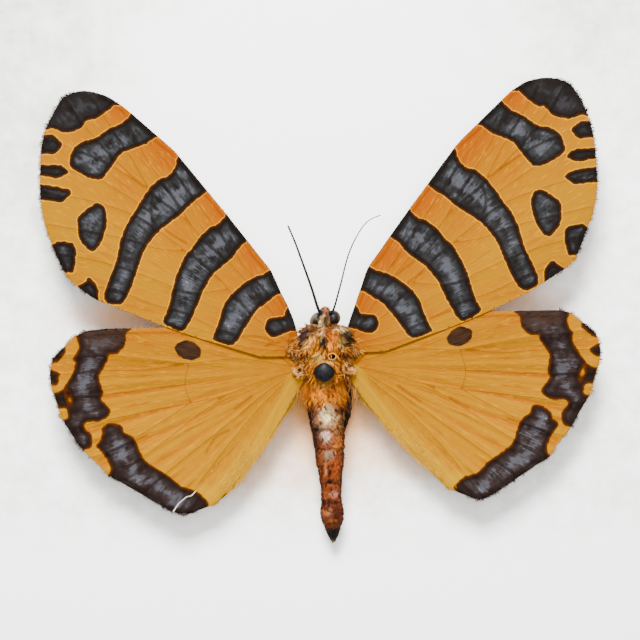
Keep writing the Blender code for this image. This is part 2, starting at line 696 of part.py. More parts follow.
def add_eye(side, name):
    """A domed eye whose flat back faces the side of the head."""
    bm = bmesh.new()
    back = HEAD_HALF_WIDTH + GAP
    place = above_board(BODY_X + 0.05 + side * back, 0.2, HEAD_Z)
    frame = Matrix.Translation(place) @ Matrix.Rotation(math.radians(90), 4, "Y")
    bmesh.ops.create_uvsphere(bm, u_segments=18, v_segments=10, radius=1.0, matrix=frame)
    bmesh.ops.scale(bm, vec=(EYE_BULGE, EYE_RADIUS, EYE_RADIUS),
                    space=Matrix.Translation(-place), verts=bm.verts)
    cut = bmesh.ops.bisect_plane(bm, geom=bm.verts[:] + bm.edges[:] + bm.faces[:], dist=1e-5,
                                 plane_co=place + Vector((side * 0.02, 0, 0)),
                                 plane_no=(side, 0, 0), clear_inner=True)
    edges = [e for e in cut["geom_cut"] if isinstance(e, bmesh.types.BMEdge)]
    bmesh.ops.edgeloop_fill(bm, edges=edges)
    eye = add_object(f"eye_{name}", bm, MATERIALS["eye"])
    combine(eye, [new_tool(thorax_body, grow=GAP)], "DIFFERENCE")


def add_antenna(points, name):
    bm = bmesh.new()
    path = spline([above_board(*p) for p in points], 0.62)
    count = len(path) - 1
    taper = [max(0.0, i / count - ANTENNA_TAPER_START) / (1 - ANTENNA_TAPER_START) for i in range(count + 1)]
    radii = [ANTENNA_RADIUS + (ANTENNA_TIP_RADIUS - ANTENNA_RADIUS) * t for t in taper]
    sweep(bm, path, radii, radii, sides=6)
    antenna = add_object(f"antenna_{name}", bm, MATERIALS["dark"])
    combine(antenna, [new_tool(head_body, grow=GAP)], "DIFFERENCE")


def add_palp(side, name):
    """A short labial palp that hangs under the face and turns forwards."""
    bm = bmesh.new()
    x = BODY_X + 0.05 + side * 0.42
    path = spline([above_board(x, 0.35, HEAD_Z - 1.05), above_board(x, 0.7, HEAD_Z - 1.5),
                   above_board(x, 1.05, HEAD_Z - 1.5), above_board(x, 1.3, HEAD_Z - 1.25)], 0.35)
    radii = [0.26 - 0.02 * i for i in range(len(path))]
    sweep(bm, path, radii, radii, sides=8)
    palp = add_object(f"palp_{name}", bm, MATERIALS["fur"])
    combine(palp, [new_tool(head_body, grow=GAP)], "DIFFERENCE")


def add_leg(points, side, name):
    """A folded leg: coxa, femur, tibia and foot as one tapering tube with swollen joints."""
    bm = bmesh.new()
    centres = [above_board(BODY_X + side * x, y, h) for x, y, h, _ in points]
    path = spline(centres, 0.75)
    lengths = [(b - a).length for a, b in zip(centres, centres[1:])]
    radii = []
    for i, (part, point) in enumerate(zip(lengths, points)):
        steps = max(1, round(part / 0.75))
        start, end = point[3], points[i + 1][3]
        radii += [start + (end - start) * k / steps for k in range(steps)]
    radii.append(points[-1][3])
    sweep(bm, path, radii, radii, sides=LEG_SIDES, first_side=(0.3, 0.1, 1))
    leg = add_object(name, bm, MATERIALS["dark"])
    combine(leg, [new_tool(thorax_body, grow=GAP)], "DIFFERENCE")


def add_legs():
    for side, name in ((-1, "left"), (1, "right")):
        add_leg(FORE_LEG, side, f"foreleg_{name}")
        add_leg(MID_LEG, side, f"midleg_{name}")
        add_leg(LEFT_HIND_LEG if side < 0 else HIND_LEG, side, f"hindleg_{name}")


clear_scene()
MATERIALS = {
    "card": material("card", (0.93, 0.93, 0.92), 0.85),
    "glue": material("glue", (0.75, 0.7, 0.6), 0.3),
    "fur": material("fur", (0.75, 0.3, 0.05), 0.8),
    "abdomen": material("abdomen", (0.33, 0.1, 0.03), 0.55),
    "dark": material("dark", (0.02, 0.018, 0.015), 0.6),
    "eye": material("eye", (0.03, 0.025, 0.02), 0.25),
    "forewing": material("forewing", (0.95, 0.4, 0.03), 0.7),
    "hindwing": material("hindwing", (0.95, 0.5, 0.08), 0.7),
}
add_board()
add_glue()
add_thorax()
add_abdomen()
add_tail_tuft()
add_head()
add_legs()
for wing_side in ("left", "right"):
    add_wing("fore", wing_side)
    add_wing("hind", wing_side)
    sign = -1 if wing_side == "left" else 1
    add_tegula(sign, wing_side)
    add_eye(sign, wing_side)
    add_palp(sign, wing_side)
    add_antenna(ANTENNA_LEFT if sign < 0 else ANTENNA_RIGHT, wing_side)
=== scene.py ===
import math

import bmesh
import bpy
import numpy as np
from mathutils import Matrix, Vector
from mathutils.geometry import delaunay_2d_cdt


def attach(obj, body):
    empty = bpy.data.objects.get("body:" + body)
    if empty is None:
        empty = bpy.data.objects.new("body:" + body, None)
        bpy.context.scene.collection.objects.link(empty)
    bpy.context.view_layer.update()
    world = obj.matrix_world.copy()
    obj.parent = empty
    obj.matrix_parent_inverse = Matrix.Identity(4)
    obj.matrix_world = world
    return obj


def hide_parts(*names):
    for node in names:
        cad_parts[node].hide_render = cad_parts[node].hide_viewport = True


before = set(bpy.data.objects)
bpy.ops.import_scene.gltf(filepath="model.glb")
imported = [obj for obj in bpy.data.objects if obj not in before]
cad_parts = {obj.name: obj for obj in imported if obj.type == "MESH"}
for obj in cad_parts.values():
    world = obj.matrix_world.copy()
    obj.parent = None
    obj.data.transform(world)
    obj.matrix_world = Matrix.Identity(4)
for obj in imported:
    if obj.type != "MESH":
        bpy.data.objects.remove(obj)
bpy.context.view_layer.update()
mm = 0.001
cardTop = 5.0  # lengths below are in mm, and heights of the wings and the body start at the card's face
bodyX = 0.5  # the moth's middle line
random = np.random.default_rng(11)


# shader sums

class Wire:  # an output socket that takes part in sums
    def __init__(self, paint, socket):
        self.paint, self.socket = paint, socket

    def sum(self, operation, *values):
        return self.paint.node("Math", {"operation": operation}, dict(enumerate(values)))

    def __add__(self, other): return self.sum("ADD", self, other)
    def __sub__(self, other): return self.sum("SUBTRACT", self, other)
    def __rsub__(self, other): return self.sum("SUBTRACT", other, self)
    def __mul__(self, other): return self.sum("MULTIPLY", self, other)
    def __truediv__(self, other): return self.sum("DIVIDE", self, other)
    def __rtruediv__(self, other): return self.sum("DIVIDE", other, self)
    def __pow__(self, other): return self.sum("POWER", self, other)
    def __neg__(self): return self.sum("MULTIPLY", self, -1)
    __radd__ = __add__
    __rmul__ = __mul__

    def ramp(self, low, high):  # 0 at low, 1 at high, smooth between
        sockets = {"Value": self, "From Min": low, "From Max": high}
        return self.paint.node("MapRange", {"interpolation_type": "SMOOTHSTEP"}, sockets)

    def most(self, other): return self.sum("MAXIMUM", self, other)
    def least(self, other): return self.sum("MINIMUM", self, other)


class Paint:  # a material and the nodes in it
    def __init__(self, name, roughness, level, colour=(0.8, 0.8, 0.8, 1.0)):
        self.material = bpy.data.materials.new(name)
        self.material.use_nodes = True
        self.tree = self.material.node_tree
        self.shader = self.tree.nodes["Principled BSDF"]
        self.set({"Roughness": roughness, "Specular IOR Level": level, "Base Color": colour})

    def set(self, sockets):
        for name, value in sockets.items():
            self.feed(self.shader.inputs[name], value)

    def feed(self, socket, value):
        if isinstance(value, Wire):
            self.tree.links.new(value.socket, socket)
        else:
            socket.default_value = value

    def node(self, kind, settings, sockets, out=0):
        made = self.tree.nodes.new("ShaderNode" + kind)
        for name, value in settings.items():
            setattr(made, name, value)
        for name, value in sockets.items():
            self.feed(made.inputs[name], value)
        return Wire(self, made.outputs[out])

    def attribute(self, name, out="Fac"):
        return self.node("Attribute", {"attribute_name": name}, {}, out)

    def mix(self, a, b, amount):  # colour a where amount is 0, b where it is 1
        return self.node("Mix", {"data_type": "RGBA"}, {0: amount, 6: a, 7: b}, 2)

    def layered(self, base, *coats):  # each coat is a colour and how much of it covers what is below
        for colour, amount in coats:
            base = self.mix(base, colour, amount)
        return base

    def axis(self, vector, k):
        return self.node("SeparateXYZ", {}, {"Vector": vector}, k)

    def scaled(self, vector, factors):
        return self.node("VectorMath", {"operation": "MULTIPLY"}, {0: vector, 1: factors})

    def millimetres(self):
        return self.scaled(self.node("TexCoord", {}, {}, "Object"), (1000, 1000, 1000))

    def noise(self, vector, scale, detail, rough=0.5):
        sockets = {"Vector": vector, "Scale": scale, "Detail": detail, "Roughness": rough}
        return self.node("TexNoise", {}, sockets)

    def bump(self, height, distance, strength):
        sockets = {"Height": height, "Distance": distance * mm, "Strength": strength}
        self.set({"Normal": self.node("Bump", {}, sockets)})


def linear(red, green, blue):  # 0 to 255 as seen, to the shader's linear values
    return [c / 3294.6 if c < 10.3 else ((c / 255 + 0.055) / 1.055) ** 2.4 for c in (red, green, blue)]


def shade(red, green, blue):
    return (*linear(red, green, blue), 1.0)


def speckled(name, roughness, level, scale, dark, light, spread, depth, strength):
    p = Paint(name, roughness, level)
    grain = p.noise(p.millimetres(), scale, 3.0)
    p.set({"Base Color": p.mix(dark, light, (grain - 0.5).ramp(*spread))})
    p.bump(grain, depth, strength)
    return p


# shapes

def curve(points, step, closed=False):  # a smooth line through the points
    p = np.array(points, float)
    n = len(p)
    rows = []
    for i in range(n if closed else n - 1):
        near = [(i + k) % n if closed else min(max(i + k, 0), n - 1) for k in (-1, 0, 1, 2)]
        a, b, c, d = p[near]
        count = max(1, round(np.linalg.norm(c - b) / step))
        t = np.arange(count)[:, None] / count
        rows.append(0.5 * (2 * b + (c - a) * t + (2 * a - 5 * b + 4 * c - d) * t**2
                           + (3 * b - a - 3 * c + d) * t**3))
    return np.concatenate(rows if closed else rows + [p[-1:]])


def lineDistance(points, line):
    best = np.full(len(points), 1e9)
    for start, along in zip(line[:-1], line[1:] - line[:-1]):
        t = np.clip((points - start) @ along / max(along @ along, 1e-12), 0, 1)
        best = np.minimum(best, np.linalg.norm(points - start - t[:, None] * along, axis=1))
    return best


def closed(ring):
    return np.concatenate([ring, ring[:1]])


def within(points, ring):
    inside = np.zeros(len(points), bool)
    for a, b in zip(ring, np.roll(ring, -1, axis=0)):
        if a[1] != b[1]:
            across = a[0] + (points[:, 1] - a[1]) / (b[1] - a[1]) * (b[0] - a[0])
            inside ^= ((a[1] > points[:, 1]) != (b[1] > points[:, 1])) & (points[:, 0] < across)
    return inside


def signed(points, ring):  # distance to a ring, positive inside it
    return np.where(within(points, ring), 1, -1) * lineDistance(points, closed(ring))


def unit(v):
    return v / np.maximum(np.linalg.norm(v, axis=-1, keepdims=True), 1e-9)


def squareTo(outs, v):  # the part of v that lies square to outs
    return v - outs * (v * outs).sum(-1, keepdims=True)


def ovalReach(points, x, y, halfX, halfY, lean=0):  # seen from above: 0 at an oval's middle, 1 on its line
    c, s = math.cos(math.radians(lean)), math.sin(math.radians(lean))
    dx, dy = points[:, 0] - x, points[:, 1] - y
    return np.hypot((dx * c + dy * s) / halfX, (dy * c - dx * s) / halfY)


def show(name, mesh, paint, nodes):  # a finished mesh as a piece of the model
    mesh.materials.append(paint.material)
    obj = bpy.data.objects.new(name, mesh)
    bpy.context.scene.collection.objects.link(obj)
    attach(obj, "root")
    if nodes:
        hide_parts(*nodes)


layerKinds = {1: ("FLOAT", "value"), 3: ("FLOAT_VECTOR", "vector"), 4: ("FLOAT_COLOR", "color")}


def piece(name, made, paint, nodes=(), layers=None):  # made: verts, faces and the uvs of their corners
    verts, faces, uvs = made
    mesh = bpy.data.meshes.new(name)
    mesh.from_pydata(verts * mm, [], faces)
    mesh.uv_layers.new(name="OFBake").data.foreach_set("uv", np.asarray(uvs, np.float32).ravel())
    for key, values in (layers or {}).items():  # what the paint reads at each point
        values = np.asarray(values, np.float32)
        kind, field = layerKinds[values[0].size]
        mesh.attributes.new(key, kind, "POINT").data.foreach_set(field, values.ravel())
    mesh.shade_smooth()
    show(name, mesh, paint, nodes)


def tinted(tone):  # a colour for each point, as the layer that the coats' paint reads
    return {"tint": np.column_stack([np.clip(tone, 0, 1), np.ones(len(tone))])}


def tube(rings):  # a closed skin over rings of points, shape (rows, sides, 3), as piece wants it
    rows, sides = rings.shape[:2]
    i, j = np.meshgrid(np.arange(rows - 1), np.arange(sides), indexing="ij")
    k = (j + 1) % sides
    faces = np.stack([i * sides + j, i * sides + k, (i + 1) * sides + k, (i + 1) * sides + j], -1)
    faces = faces.reshape(-1, 4).tolist()
    u, v = np.stack([j, j + 1, j + 1, j], -1) / sides, np.stack([i, i, i + 1, i + 1], -1) / (rows - 1)
    end = rows * sides  # the middles of the two end rings come last
    capUvs = []
    for j in range(sides):
        k, u0, u1 = (j + 1) % sides, j / sides, (j + 1) / sides
        faces += [[k, j, end], [end - sides + j, end - sides + k, end + 1]]
        capUvs += [[u1, 0], [u0, 0], [u0, 0], [u0, 1], [u1, 1], [u0, 1]]
    verts = np.concatenate([rings.reshape(-1, 3), rings[[0, -1]].mean(1)])
    return verts, faces, np.concatenate([np.stack([u, v], -1).reshape(-1, 2), capUvs])


def tubeAlong(path, radii, sides, flat=1.0, start=(1, 0, 0)):  # rings square to a path
    path = np.asarray(path, float)
    ahead = unit(np.gradient(path, axis=0))
    side = np.array(start, float)
    turn = np.linspace(0, 2 * np.pi, sides, endpoint=False)
    rings = []
    for centre, tangent, radius in zip(path, ahead, radii):
        side = unit(side - tangent * (side @ tangent))
        up = np.cross(tangent, side)
        rings.append(centre + radius * (np.cos(turn)[:, None] * side + flat * np.sin(turn)[:, None] * up))
    return np.array(rings)


def raised(points):  # points given above the card's face
    return np.array(points, float) + [0, 0, cardTop]


def joined(parts):  # several skins as one
    verts, faces, uvs, base = [], [], [], 0
    for v, f, t in parts:
        verts.append(v)
        faces += [[i + base for i in face] for face in f]
        uvs.append(t)
        base += len(v)
    return np.concatenate(verts), faces, np.concatenate(uvs)


def tufts(roots, outs, lies, lengths, widths, uvs, lift, sink=0.06):
    # one tapered three-sided hair or scale at each root, sunk along out, leaning the way lie says
    outs = unit(outs)
    lies = unit(squareTo(outs, lies))
    side = np.cross(outs, lies)
    lengths, widths, lift = lengths[:, None], widths[:, None], lift[:, None]
    sections = []
    for s, w in ((0.0, 0.8), (0.4, 1.0), (0.75, 0.6)):  # how far along, and the width there
        centre = roots - outs * sink * (s == 0) + lengths * (lies * s + outs * lift * (s - 0.45 * s * s))
        half = side * widths * w / 2
        sections += [centre - half, centre + half, centre + outs * widths * w * 0.35]
    tip = roots + lengths * (lies + outs * lift * 0.55)
    verts = np.stack(sections + [tip], 1).reshape(-1, 3)
    sides = [[3 * r + a, 3 * r + b, 3 * r + 3 + b, 3 * r + 3 + a]
             for r in (0, 1) for a, b in ((0, 1), (1, 2), (2, 0))]
    base = np.arange(len(roots))[:, None, None] * 10
    sides, ends = base + np.array(sides), base + np.array([[6, 7, 9], [7, 8, 9], [8, 6, 9], [0, 2, 1]])
    faces = sides.reshape(-1, 4).tolist() + ends.reshape(-1, 3).tolist()
    place = np.array([(x, y) for y in (0, 0.4, 0.75) for x in (0, 1, 0.5)] + [(0.5, 1)])
    patch = (uvs[:, None, :] + (place - 0.5) * 0.003).reshape(-1, 2)
    return verts, faces, patch[np.concatenate([sides.ravel(), ends.ravel()])]


def perTuft(values):  # a value for each tuft, given to its ten points
    return np.repeat(values, 10, axis=0)


# wings, drawn as the right pair and set a little differently on the left

foreWing = {
    "name": "forewing", "root": (3.36, -1.68), "z": 5.26, "fall": 0.0, "fold": 0.04, "folds": 7, "rise": 0.0,
    "bead": 0.12, "droop": 0.1, "tuck": 0.0,
    "left": {"root": (-2.99, -2.0), "turn": 3.9, "stretch": (0.983, 1.014), "bulges": [
        (-23.9, 2.8, -0.1, -0.38, 2.0), (-28.1, 21.8, 0.2, -0.05, 2.2), (-3.25, 0.85, 0.26, 0.06, 2.0),
        (-27.6, 7.1, -0.12, -0.08, 2.0), (-21.5, 22.7, 0.28, -0.36, 2.2), (-17.85, 19.85, 0.42, -0.4, 2.4),
        (-27.5, 13.3, 0.0, -0.2, 1.4), (-28.1, 19.4, -0.04, 0.3, 1.5)]},
    "outline": [
        (2.6, -3.1), (2.8, -1.1), (3.6, 1.2), (4.2, 3.0), (5.1, 5.6), (6.1, 6.8), (7.5, 8.9), (9.2, 11.4),
        (11.0, 13.8), (12.6, 16.0), (13.7, 17.5), (14.7, 18.8), (16.2, 20.1), (17.3, 21.3), (19.0, 23.0),
        (20.2, 24.1), (21.7, 25.0), (23.6, 25.4), (24.7, 25.3), (26.1, 24.8), (27.0, 23.7), (27.6, 22.6),
        (28.0, 21.6), (28.6, 19.5), (28.9, 16.7), (29.0, 14.9), (28.9, 13.2), (28.6, 11.5), (28.0, 9.8),
        (27.0, 7.0), (26.3, 6.0), (24.7, 4.8), (22.3, 3.2), (19.9, 2.0), (16.9, 0.6), (14.0, -0.6),
        (11.8, -1.4), (9.6, -2.1), (6.6, -3.3), (5.2, -3.0), (4.2, -3.4),
    ],
    "leading": 17, "fringeFrom": 18, "fringeTo": 31,
    "marks": {
        "apex": [(20.2, 24.0), (20.8, 24.0), (21.7, 23.2), (22.9, 22.4), (23.5, 22.4), (24.2, 21.6), (25.3, 21.2),
                 (26.2, 21.1), (27.4, 21.5), (28.3, 21.5), (29.6, 23.1), (28.3, 26.2), (24.7, 27.2), (20.6, 26.4),
                 (19.2, 24.8)],
        "subapical": [(19.0, 23.0), (20.0, 22.1), (21.4, 21.4), (22.7, 20.5), (24.0, 20.2), (25.2, 19.5),
                      (25.7, 18.1), (25.5, 17.5), (24.0, 16.5), (22.6, 16.1), (21.7, 16.8), (20.9, 17.8),
                      (20.1, 18.7), (18.7, 19.3), (17.7, 19.8), (16.9, 20.4), (16.0, 20.6), (15.0, 21.2),
                      (17.6, 24.2)],
        "dash1": [(30.2, 20.9), (28.0, 20.9), (27.3, 20.8), (26.4, 20.1), (26.4, 19.7), (27.2, 19.0), (28.0, 19.1),
                  (30.2, 19.3)],
        "dash2": [(25.8, 17.1), (26.1, 17.5), (26.7, 17.9), (28.0, 18.0), (29.9, 18.1), (29.9, 17.1), (28.1, 16.8),
                  (27.3, 16.6), (26.6, 16.7), (26.0, 16.9)],
        "dash3": [(25.7, 14.9), (25.9, 15.4), (27.0, 15.8), (28.3, 16.0), (30.2, 16.1), (30.2, 14.6), (28.3, 14.4),
                  (26.8, 14.2), (26.2, 14.5)],
        "oval": [(23.1, 13.7), (22.4, 13.4), (22.1, 12.4), (22.4, 10.7), (23.2, 9.2), (23.8, 8.8), (24.3, 8.9),
                 (25.2, 10.2), (25.3, 11.9), (25.0, 12.6), (23.7, 13.5)],
        "hindSpot": [(25.7, 9.5), (26.2, 9.9), (27.5, 10.1), (28.0, 9.8), (29.3, 9.9), (29.3, 7.4), (28.0, 6.0),
                     (26.8, 6.8), (26.2, 6.7), (25.9, 7.1), (25.6, 8.7)],
        "cornerSpot": [(25.9, 5.4), (25.0, 5.8), (24.6, 6.2), (24.1, 6.1), (23.5, 5.2), (23.5, 4.5), (23.7, 3.2),
                       (25.4, 3.8), (26.4, 4.9)],
        "outerBar": [(13.0, 18.3), (14.3, 17.8), (14.4, 17.2), (15.2, 16.1), (16.2, 15.8), (17.3, 15.0),
                     (18.3, 13.8), (19.2, 12.5), (20.1, 11.3), (20.9, 9.6), (21.4, 7.8), (22.2, 6.1), (22.9, 4.5),
                     (22.8, 3.7), (22.3, 3.3), (21.5, 3.1), (20.9, 3.4), (20.0, 4.8), (19.2, 6.6), (18.4, 8.4),
                     (17.2, 9.9), (15.9, 10.9), (14.3, 11.9), (13.0, 13.0), (11.9, 13.7), (11.1, 14.3),
                     (10.2, 14.8)],
        "middleBar": [(8.6, 12.2), (9.7, 11.3), (10.5, 10.6), (11.1, 10.5), (12.3, 9.6), (13.3, 8.4), (13.9, 7.9),
                      (14.6, 6.8), (15.4, 5.1), (15.9, 3.5), (16.3, 2.3), (16.9, 1.2), (16.7, 0.7), (15.4, 0.0),
                      (14.8, -0.1), (14.1, 0.7), (13.2, 2.3), (12.4, 3.9), (11.3, 5.4), (10.3, 6.2), (9.1, 7.1),
                      (8.1, 8.2), (7.2, 8.8), (6.4, 9.3)],
        "innerBar": [(4.3, 5.9), (5.4, 5.5), (6.0, 5.2), (6.9, 5.0), (8.2, 4.3), (9.3, 3.5), (10.3, 2.4),
                     (10.9, 0.9), (11.5, -0.5), (11.8, -1.1), (11.4, -1.4), (10.0, -1.9), (9.3, -1.7), (8.5, -0.6),
                     (7.5, 0.7), (6.6, 1.7), (5.5, 2.4), (4.6, 3.0), (3.4, 3.1), (3.6, 4.4)],
        "baseSpot": [(3.0, 1.9), (4.0, 1.3), (4.25, 0.72), (5.6, 0.6), (6.15, 0.0), (5.95, -1.05), (5.2, -1.38),
                     (4.5, -1.25), (3.6, -0.92), (2.5, -0.5)],
    },
    "veins": {
        "subcosta": [(3.3, -1.3), (5.0, 2.2), (7.5, 5.7), (11.2, 11.2), (14.8, 16.6), (17.6, 20.4)],
        "radius": [(3.3, -1.8), (6.1, 2.3), (8.6, 5.7), (11.6, 8.8), (14.2, 11.8), (17.0, 14.3), (19.2, 18.3),
                   (21.3, 21.8), (22.8, 24.7)],
        "radius1": [(12.7, 10.0), (15.2, 14.2), (17.9, 18.6), (19.7, 22.4)],
        "radius4": [(17.0, 14.3), (20.6, 17.8), (23.7, 21.6), (25.6, 24.5)],
        "media1": [(17.0, 14.3), (21.0, 17.3), (24.2, 19.0), (28.3, 20.6)],
        "media2": [(17.4, 12.4), (20.5, 14.7), (23.8, 16.7), (28.6, 18.1)],
        "cubitus": [(3.4, -2.2), (6.8, 0.5), (9.7, 3.9), (11.6, 6.1), (13.9, 8.1), (16.6, 10.3), (18.9, 12.0),
                    (22.6, 13.6), (28.9, 15.5)],
        "cubitus1": [(13.9, 8.1), (17.0, 8.6), (19.6, 9.6), (23.6, 10.7), (28.5, 11.9)],
        "cubitus2": [(9.7, 3.9), (13.9, 3.8), (17.0, 5.2), (21.2, 7.0), (25.4, 8.3), (27.4, 8.8)],
        "anal": [(3.6, -2.6), (7.9, -1.4), (11.8, 0.2), (14.4, 1.7), (17.9, 2.9), (21.7, 4.7), (25.5, 6.0)],
        "anal2": [(3.8, -2.9), (8.0, -2.3), (12.0, -1.0)],
        "cellEnd": [(17.0, 14.3), (17.4, 12.4), (16.6, 10.3)],
    },
}
hindWing = {
    "name": "hindwing", "root": (3.78, -4.73), "z": 4.25, "fall": 0.045, "fold": 0.055, "folds": 21, "rise": 0.85,
    "bead": 0.04, "droop": 0.0, "tuck": 0.16,
    "left": {"root": (-2.68, -5.2), "turn": 5.0, "stretch": (1.008, 0.995), "bulges": [
        (-9.24, -17.5, 0.54, -0.49, 2.5), (-6.7, -14.2, 0.35, -0.32, 4.7), (-12.4, -19.8, 0.1, -0.5, 1.5),
        (-20.5, -17.6, 0.1, 0.18, 3.0), (-28.2, -5.5, 0.22, 0.0, 3.0), (-25.6, -12.4, -0.2, -0.1, 1.8),
        (-22.4, -1.15, 0.0, 0.38, 2.6)]},
    "outline": [
        (2.6, -5.5), (3.4, -4.4), (5.5, -2.4), (8.4, -0.5), (12.6, 0.4), (18.2, 0.9), (21.0, 0.9), (23.7, 0.9),
        (25.1, 1.0), (26.6, 0.5), (27.8, -0.5), (28.9, -1.4), (29.4, -2.9), (29.3, -4.5), (28.8, -5.9),
        (28.4, -7.6), (27.4, -9.1), (26.5, -11.0), (25.1, -12.7), (24.0, -14.4), (22.7, -15.1), (20.1, -17.0),
        (17.7, -18.6), (16.3, -18.8), (15.0, -17.9), (14.4, -17.3), (13.7, -17.8), (13.2, -17.5), (12.1, -16.3),
        (9.95, -14.25), (7.8, -12.1), (5.6, -9.5), (4.25, -7.85), (3.55, -6.35),
    ],
    "leading": 8, "fringeFrom": 8, "fringeTo": 27,
    "marks": {
        "outerBand": [(20.2, 2.3), (20.2, 1.1), (20.9, 0.4), (21.1, -0.7), (22.1, -1.6), (22.9, -1.6),
                      (23.1, -2.2), (24.0, -3.4), (24.1, -3.9), (23.9, -5.4), (24.1, -6.1), (23.3, -7.2),
                      (23.4, -7.8), (24.4, -8.4), (25.8, -8.4), (26.0, -8.9), (25.4, -9.7), (25.5, -10.9),
                      (26.1, -11.2), (26.7, -11.2), (28.2, -10.4), (29.0, -8.2), (28.3, -7.9), (27.8, -7.7),
                      (27.8, -7.2), (28.0, -6.7), (29.6, -6.7), (30.0, -5.2), (28.4, -4.8), (27.7, -4.0),
                      (26.9, -2.9), (26.5, -1.7), (26.6, -1.3), (26.0, -0.4), (25.8, 2.3)],
        "rimSpot1": [(27.4, -0.5), (28.0, 0.4), (29.6, -0.6), (29.8, -1.8), (29.1, -1.85), (28.5, -1.6),
                     (27.9, -1.15)],
        "rimSpot2": [(28.3, -3.1), (28.7, -2.7), (30.2, -2.4), (30.2, -3.9), (29.1, -3.8), (28.5, -3.4)],
        "costalSpot": [(13.8, -1.1), (14.6, -0.7), (15.6, -0.8), (16.0, -1.4), (15.7, -2.2), (14.9, -2.7),
                       (14.1, -2.8), (13.5, -2.5), (13.3, -1.9)],
        "lowerBand": [(22.4, -8.9), (23.4, -9.0), (24.4, -9.8), (24.5, -10.3), (25.1, -10.9), (24.9, -11.3),
                      (24.3, -12.3), (24.0, -13.1), (23.9, -13.8), (24.4, -15.3), (21.0, -17.8), (17.8, -19.7),
                      (15.8, -19.8), (14.5, -18.6), (14.1, -17.6), (14.4, -17.2), (15.2, -16.5), (16.6, -16.0),
                      (17.7, -14.9), (18.8, -14.1), (20.1, -13.1), (20.6, -12.0), (21.1, -10.5), (22.1, -9.7),
                      (22.2, -9.2)],
    },
    "hole": [(27.6, -5.5, 0.5, 0.19, 75)],  # the orange slit in the outer band
    "veins": {
        "costa": [(3.6, -4.2), (5.6, -2.3), (8.5, -0.9), (12.6, -0.1), (20.0, 0.4), (25.2, 0.4)],
        "radius": [(3.9, -4.4), (9.4, -3.1), (14.7, -3.1), (18.9, -2.3), (23.6, -1.6), (28.6, -1.1)],
        "media1": [(14.7, -3.1), (19.4, -3.4), (24.1, -3.1), (29.3, -3.1)],
        "media2": [(15.3, -5.3), (19.9, -5.5), (24.6, -5.7), (28.8, -5.5)],
        "cubitus": [(3.9, -4.9), (8.4, -5.9), (11.0, -6.7), (14.9, -7.3), (19.4, -7.8), (24.1, -8.4),
                    (27.8, -8.8)],
        "cubitus1": [(14.9, -7.3), (18.4, -9.2), (22.6, -11.3), (25.8, -12.2)],
        "cubitus2": [(11.0, -6.7), (14.7, -8.9), (18.9, -11.7), (23.6, -14.5)],
        "fold": [(3.9, -5.1), (8.2, -7.6), (12.6, -10.6), (16.8, -13.6), (20.8, -16.4)],
        "anal": [(3.9, -5.3), (8.4, -8.8), (12.6, -13.0), (17.0, -18.4)],
        "anal3": [(3.7, -5.7), (6.3, -8.9), (9.5, -12.8), (12.6, -16.2), (13.8, -17.6)],
        "cellEnd": [(14.7, -3.1), (15.3, -5.3), (14.9, -7.3)],
    },
}


creases = {  # lines of painted crease shade, where they lie on the card
    "forewing_right": [[(8.3, 7.1), (7.5, 5.6)], [(9.9, 6.2), (8.0, 4.7)], [(10.9, 5.2), (9.2, 3.9)],
                       [(11.5, 0.2), (13.7, 1.0)], [(18.9, 15.9), (21.0, 17.4)]],
    "forewing_left": [[(-12.6, 6.3), (-10.6, 4.2)], [(-16.2, 9.4), (-14.0, 8.0)],
                      [(-8.5, -1.7), (-6.2, -1.8), (-4.9, -2.3)], [(-5.7, -2.7), (-4.2, -2.3)]],
    "hindwing_left": [[(-12.0, -14.0), (-11.0, -12.4), (-9.6, -11.6)], [(-9.0, -9.4), (-7.2, -8.0)],
                      [(-14.5, -1.5), (-13.2, -1.7)]],
    "hindwing_right": [[(10.6, -8.6), (8.2, -6.9)], [(15.6, -9.2), (13.6, -8.1)]],
}

ownMarks = {  # marks that only one wing has, as ovals on the card: x, y, half sizes, lean
    "hindwing_left": [(-27.5, -3.85, 0.85, 0.4, 45), (-27.9, -6.35, 0.48, 0.6, 0), (-26.45, -7.75, 0.45, 0.5, 0),
                      (-21.95, -11.65, 1.0, 0.8, 0), (-25.35, -4.1, 0.6, 0.5, 0)],
}

tears = {  # a ring for each torn wing: the tear is where the ring crosses a dark mark
    "hindwing_left": [(-13.0, -17.93), (-13.55, -18.52), (-14.08, -18.63), (-14.62, -19.09), (-14.84, -19.28),
                      (-15.16, -19.71), (-15.42, -20.14), (-15.65, -20.4), (-16.3, -22.0), (-8.4, -22.0),
                      (-8.4, -18.9), (-11.0, -16.8)],
}


def ovals(points, rows):  # distance into the nearest of some ovals
    best = np.full(len(points), -9.0)
    for row in rows:
        best = np.maximum(best, (1 - ovalReach(points, *row)) * min(row[2:4]))
    return best


def placed(points, shape, side):  # where points of the right wing lie on the asked side
    if side == "right":
        return points
    left = shape["left"]
    dx, dy = ((points - shape["root"]) * left["stretch"]).T
    turn = -math.radians(left["turn"])
    c, s = math.cos(turn), math.sin(turn)
    flat = np.stack([left["root"][0] - (dx * c - dy * s), left["root"][1] + (dx * s + dy * c)], 1)
    shift = 0 * flat
    for x, y, byX, byY, reach in left["bulges"]:
        near = np.exp(-((flat[:, 0] - x) ** 2 + (flat[:, 1] - y) ** 2) / reach**2)
        shift += near[:, None] * (byX, byY)
    return flat + shift


def planeHeight(flat, shape):  # the wing's middle surface above the card, before its folds
    span = abs(flat[:, 0] - bodyX)
    return shape["z"] + 0.06 * span - 0.0011 * span**2 - shape["fall"] * np.maximum(0, -1 - flat[:, 1])


def fan(points, shape):  # angle about the root and distance from it
    d = points - np.array(shape["root"])
    return np.arctan2(d[:, 1], d[:, 0]), np.linalg.norm(d, axis=1)


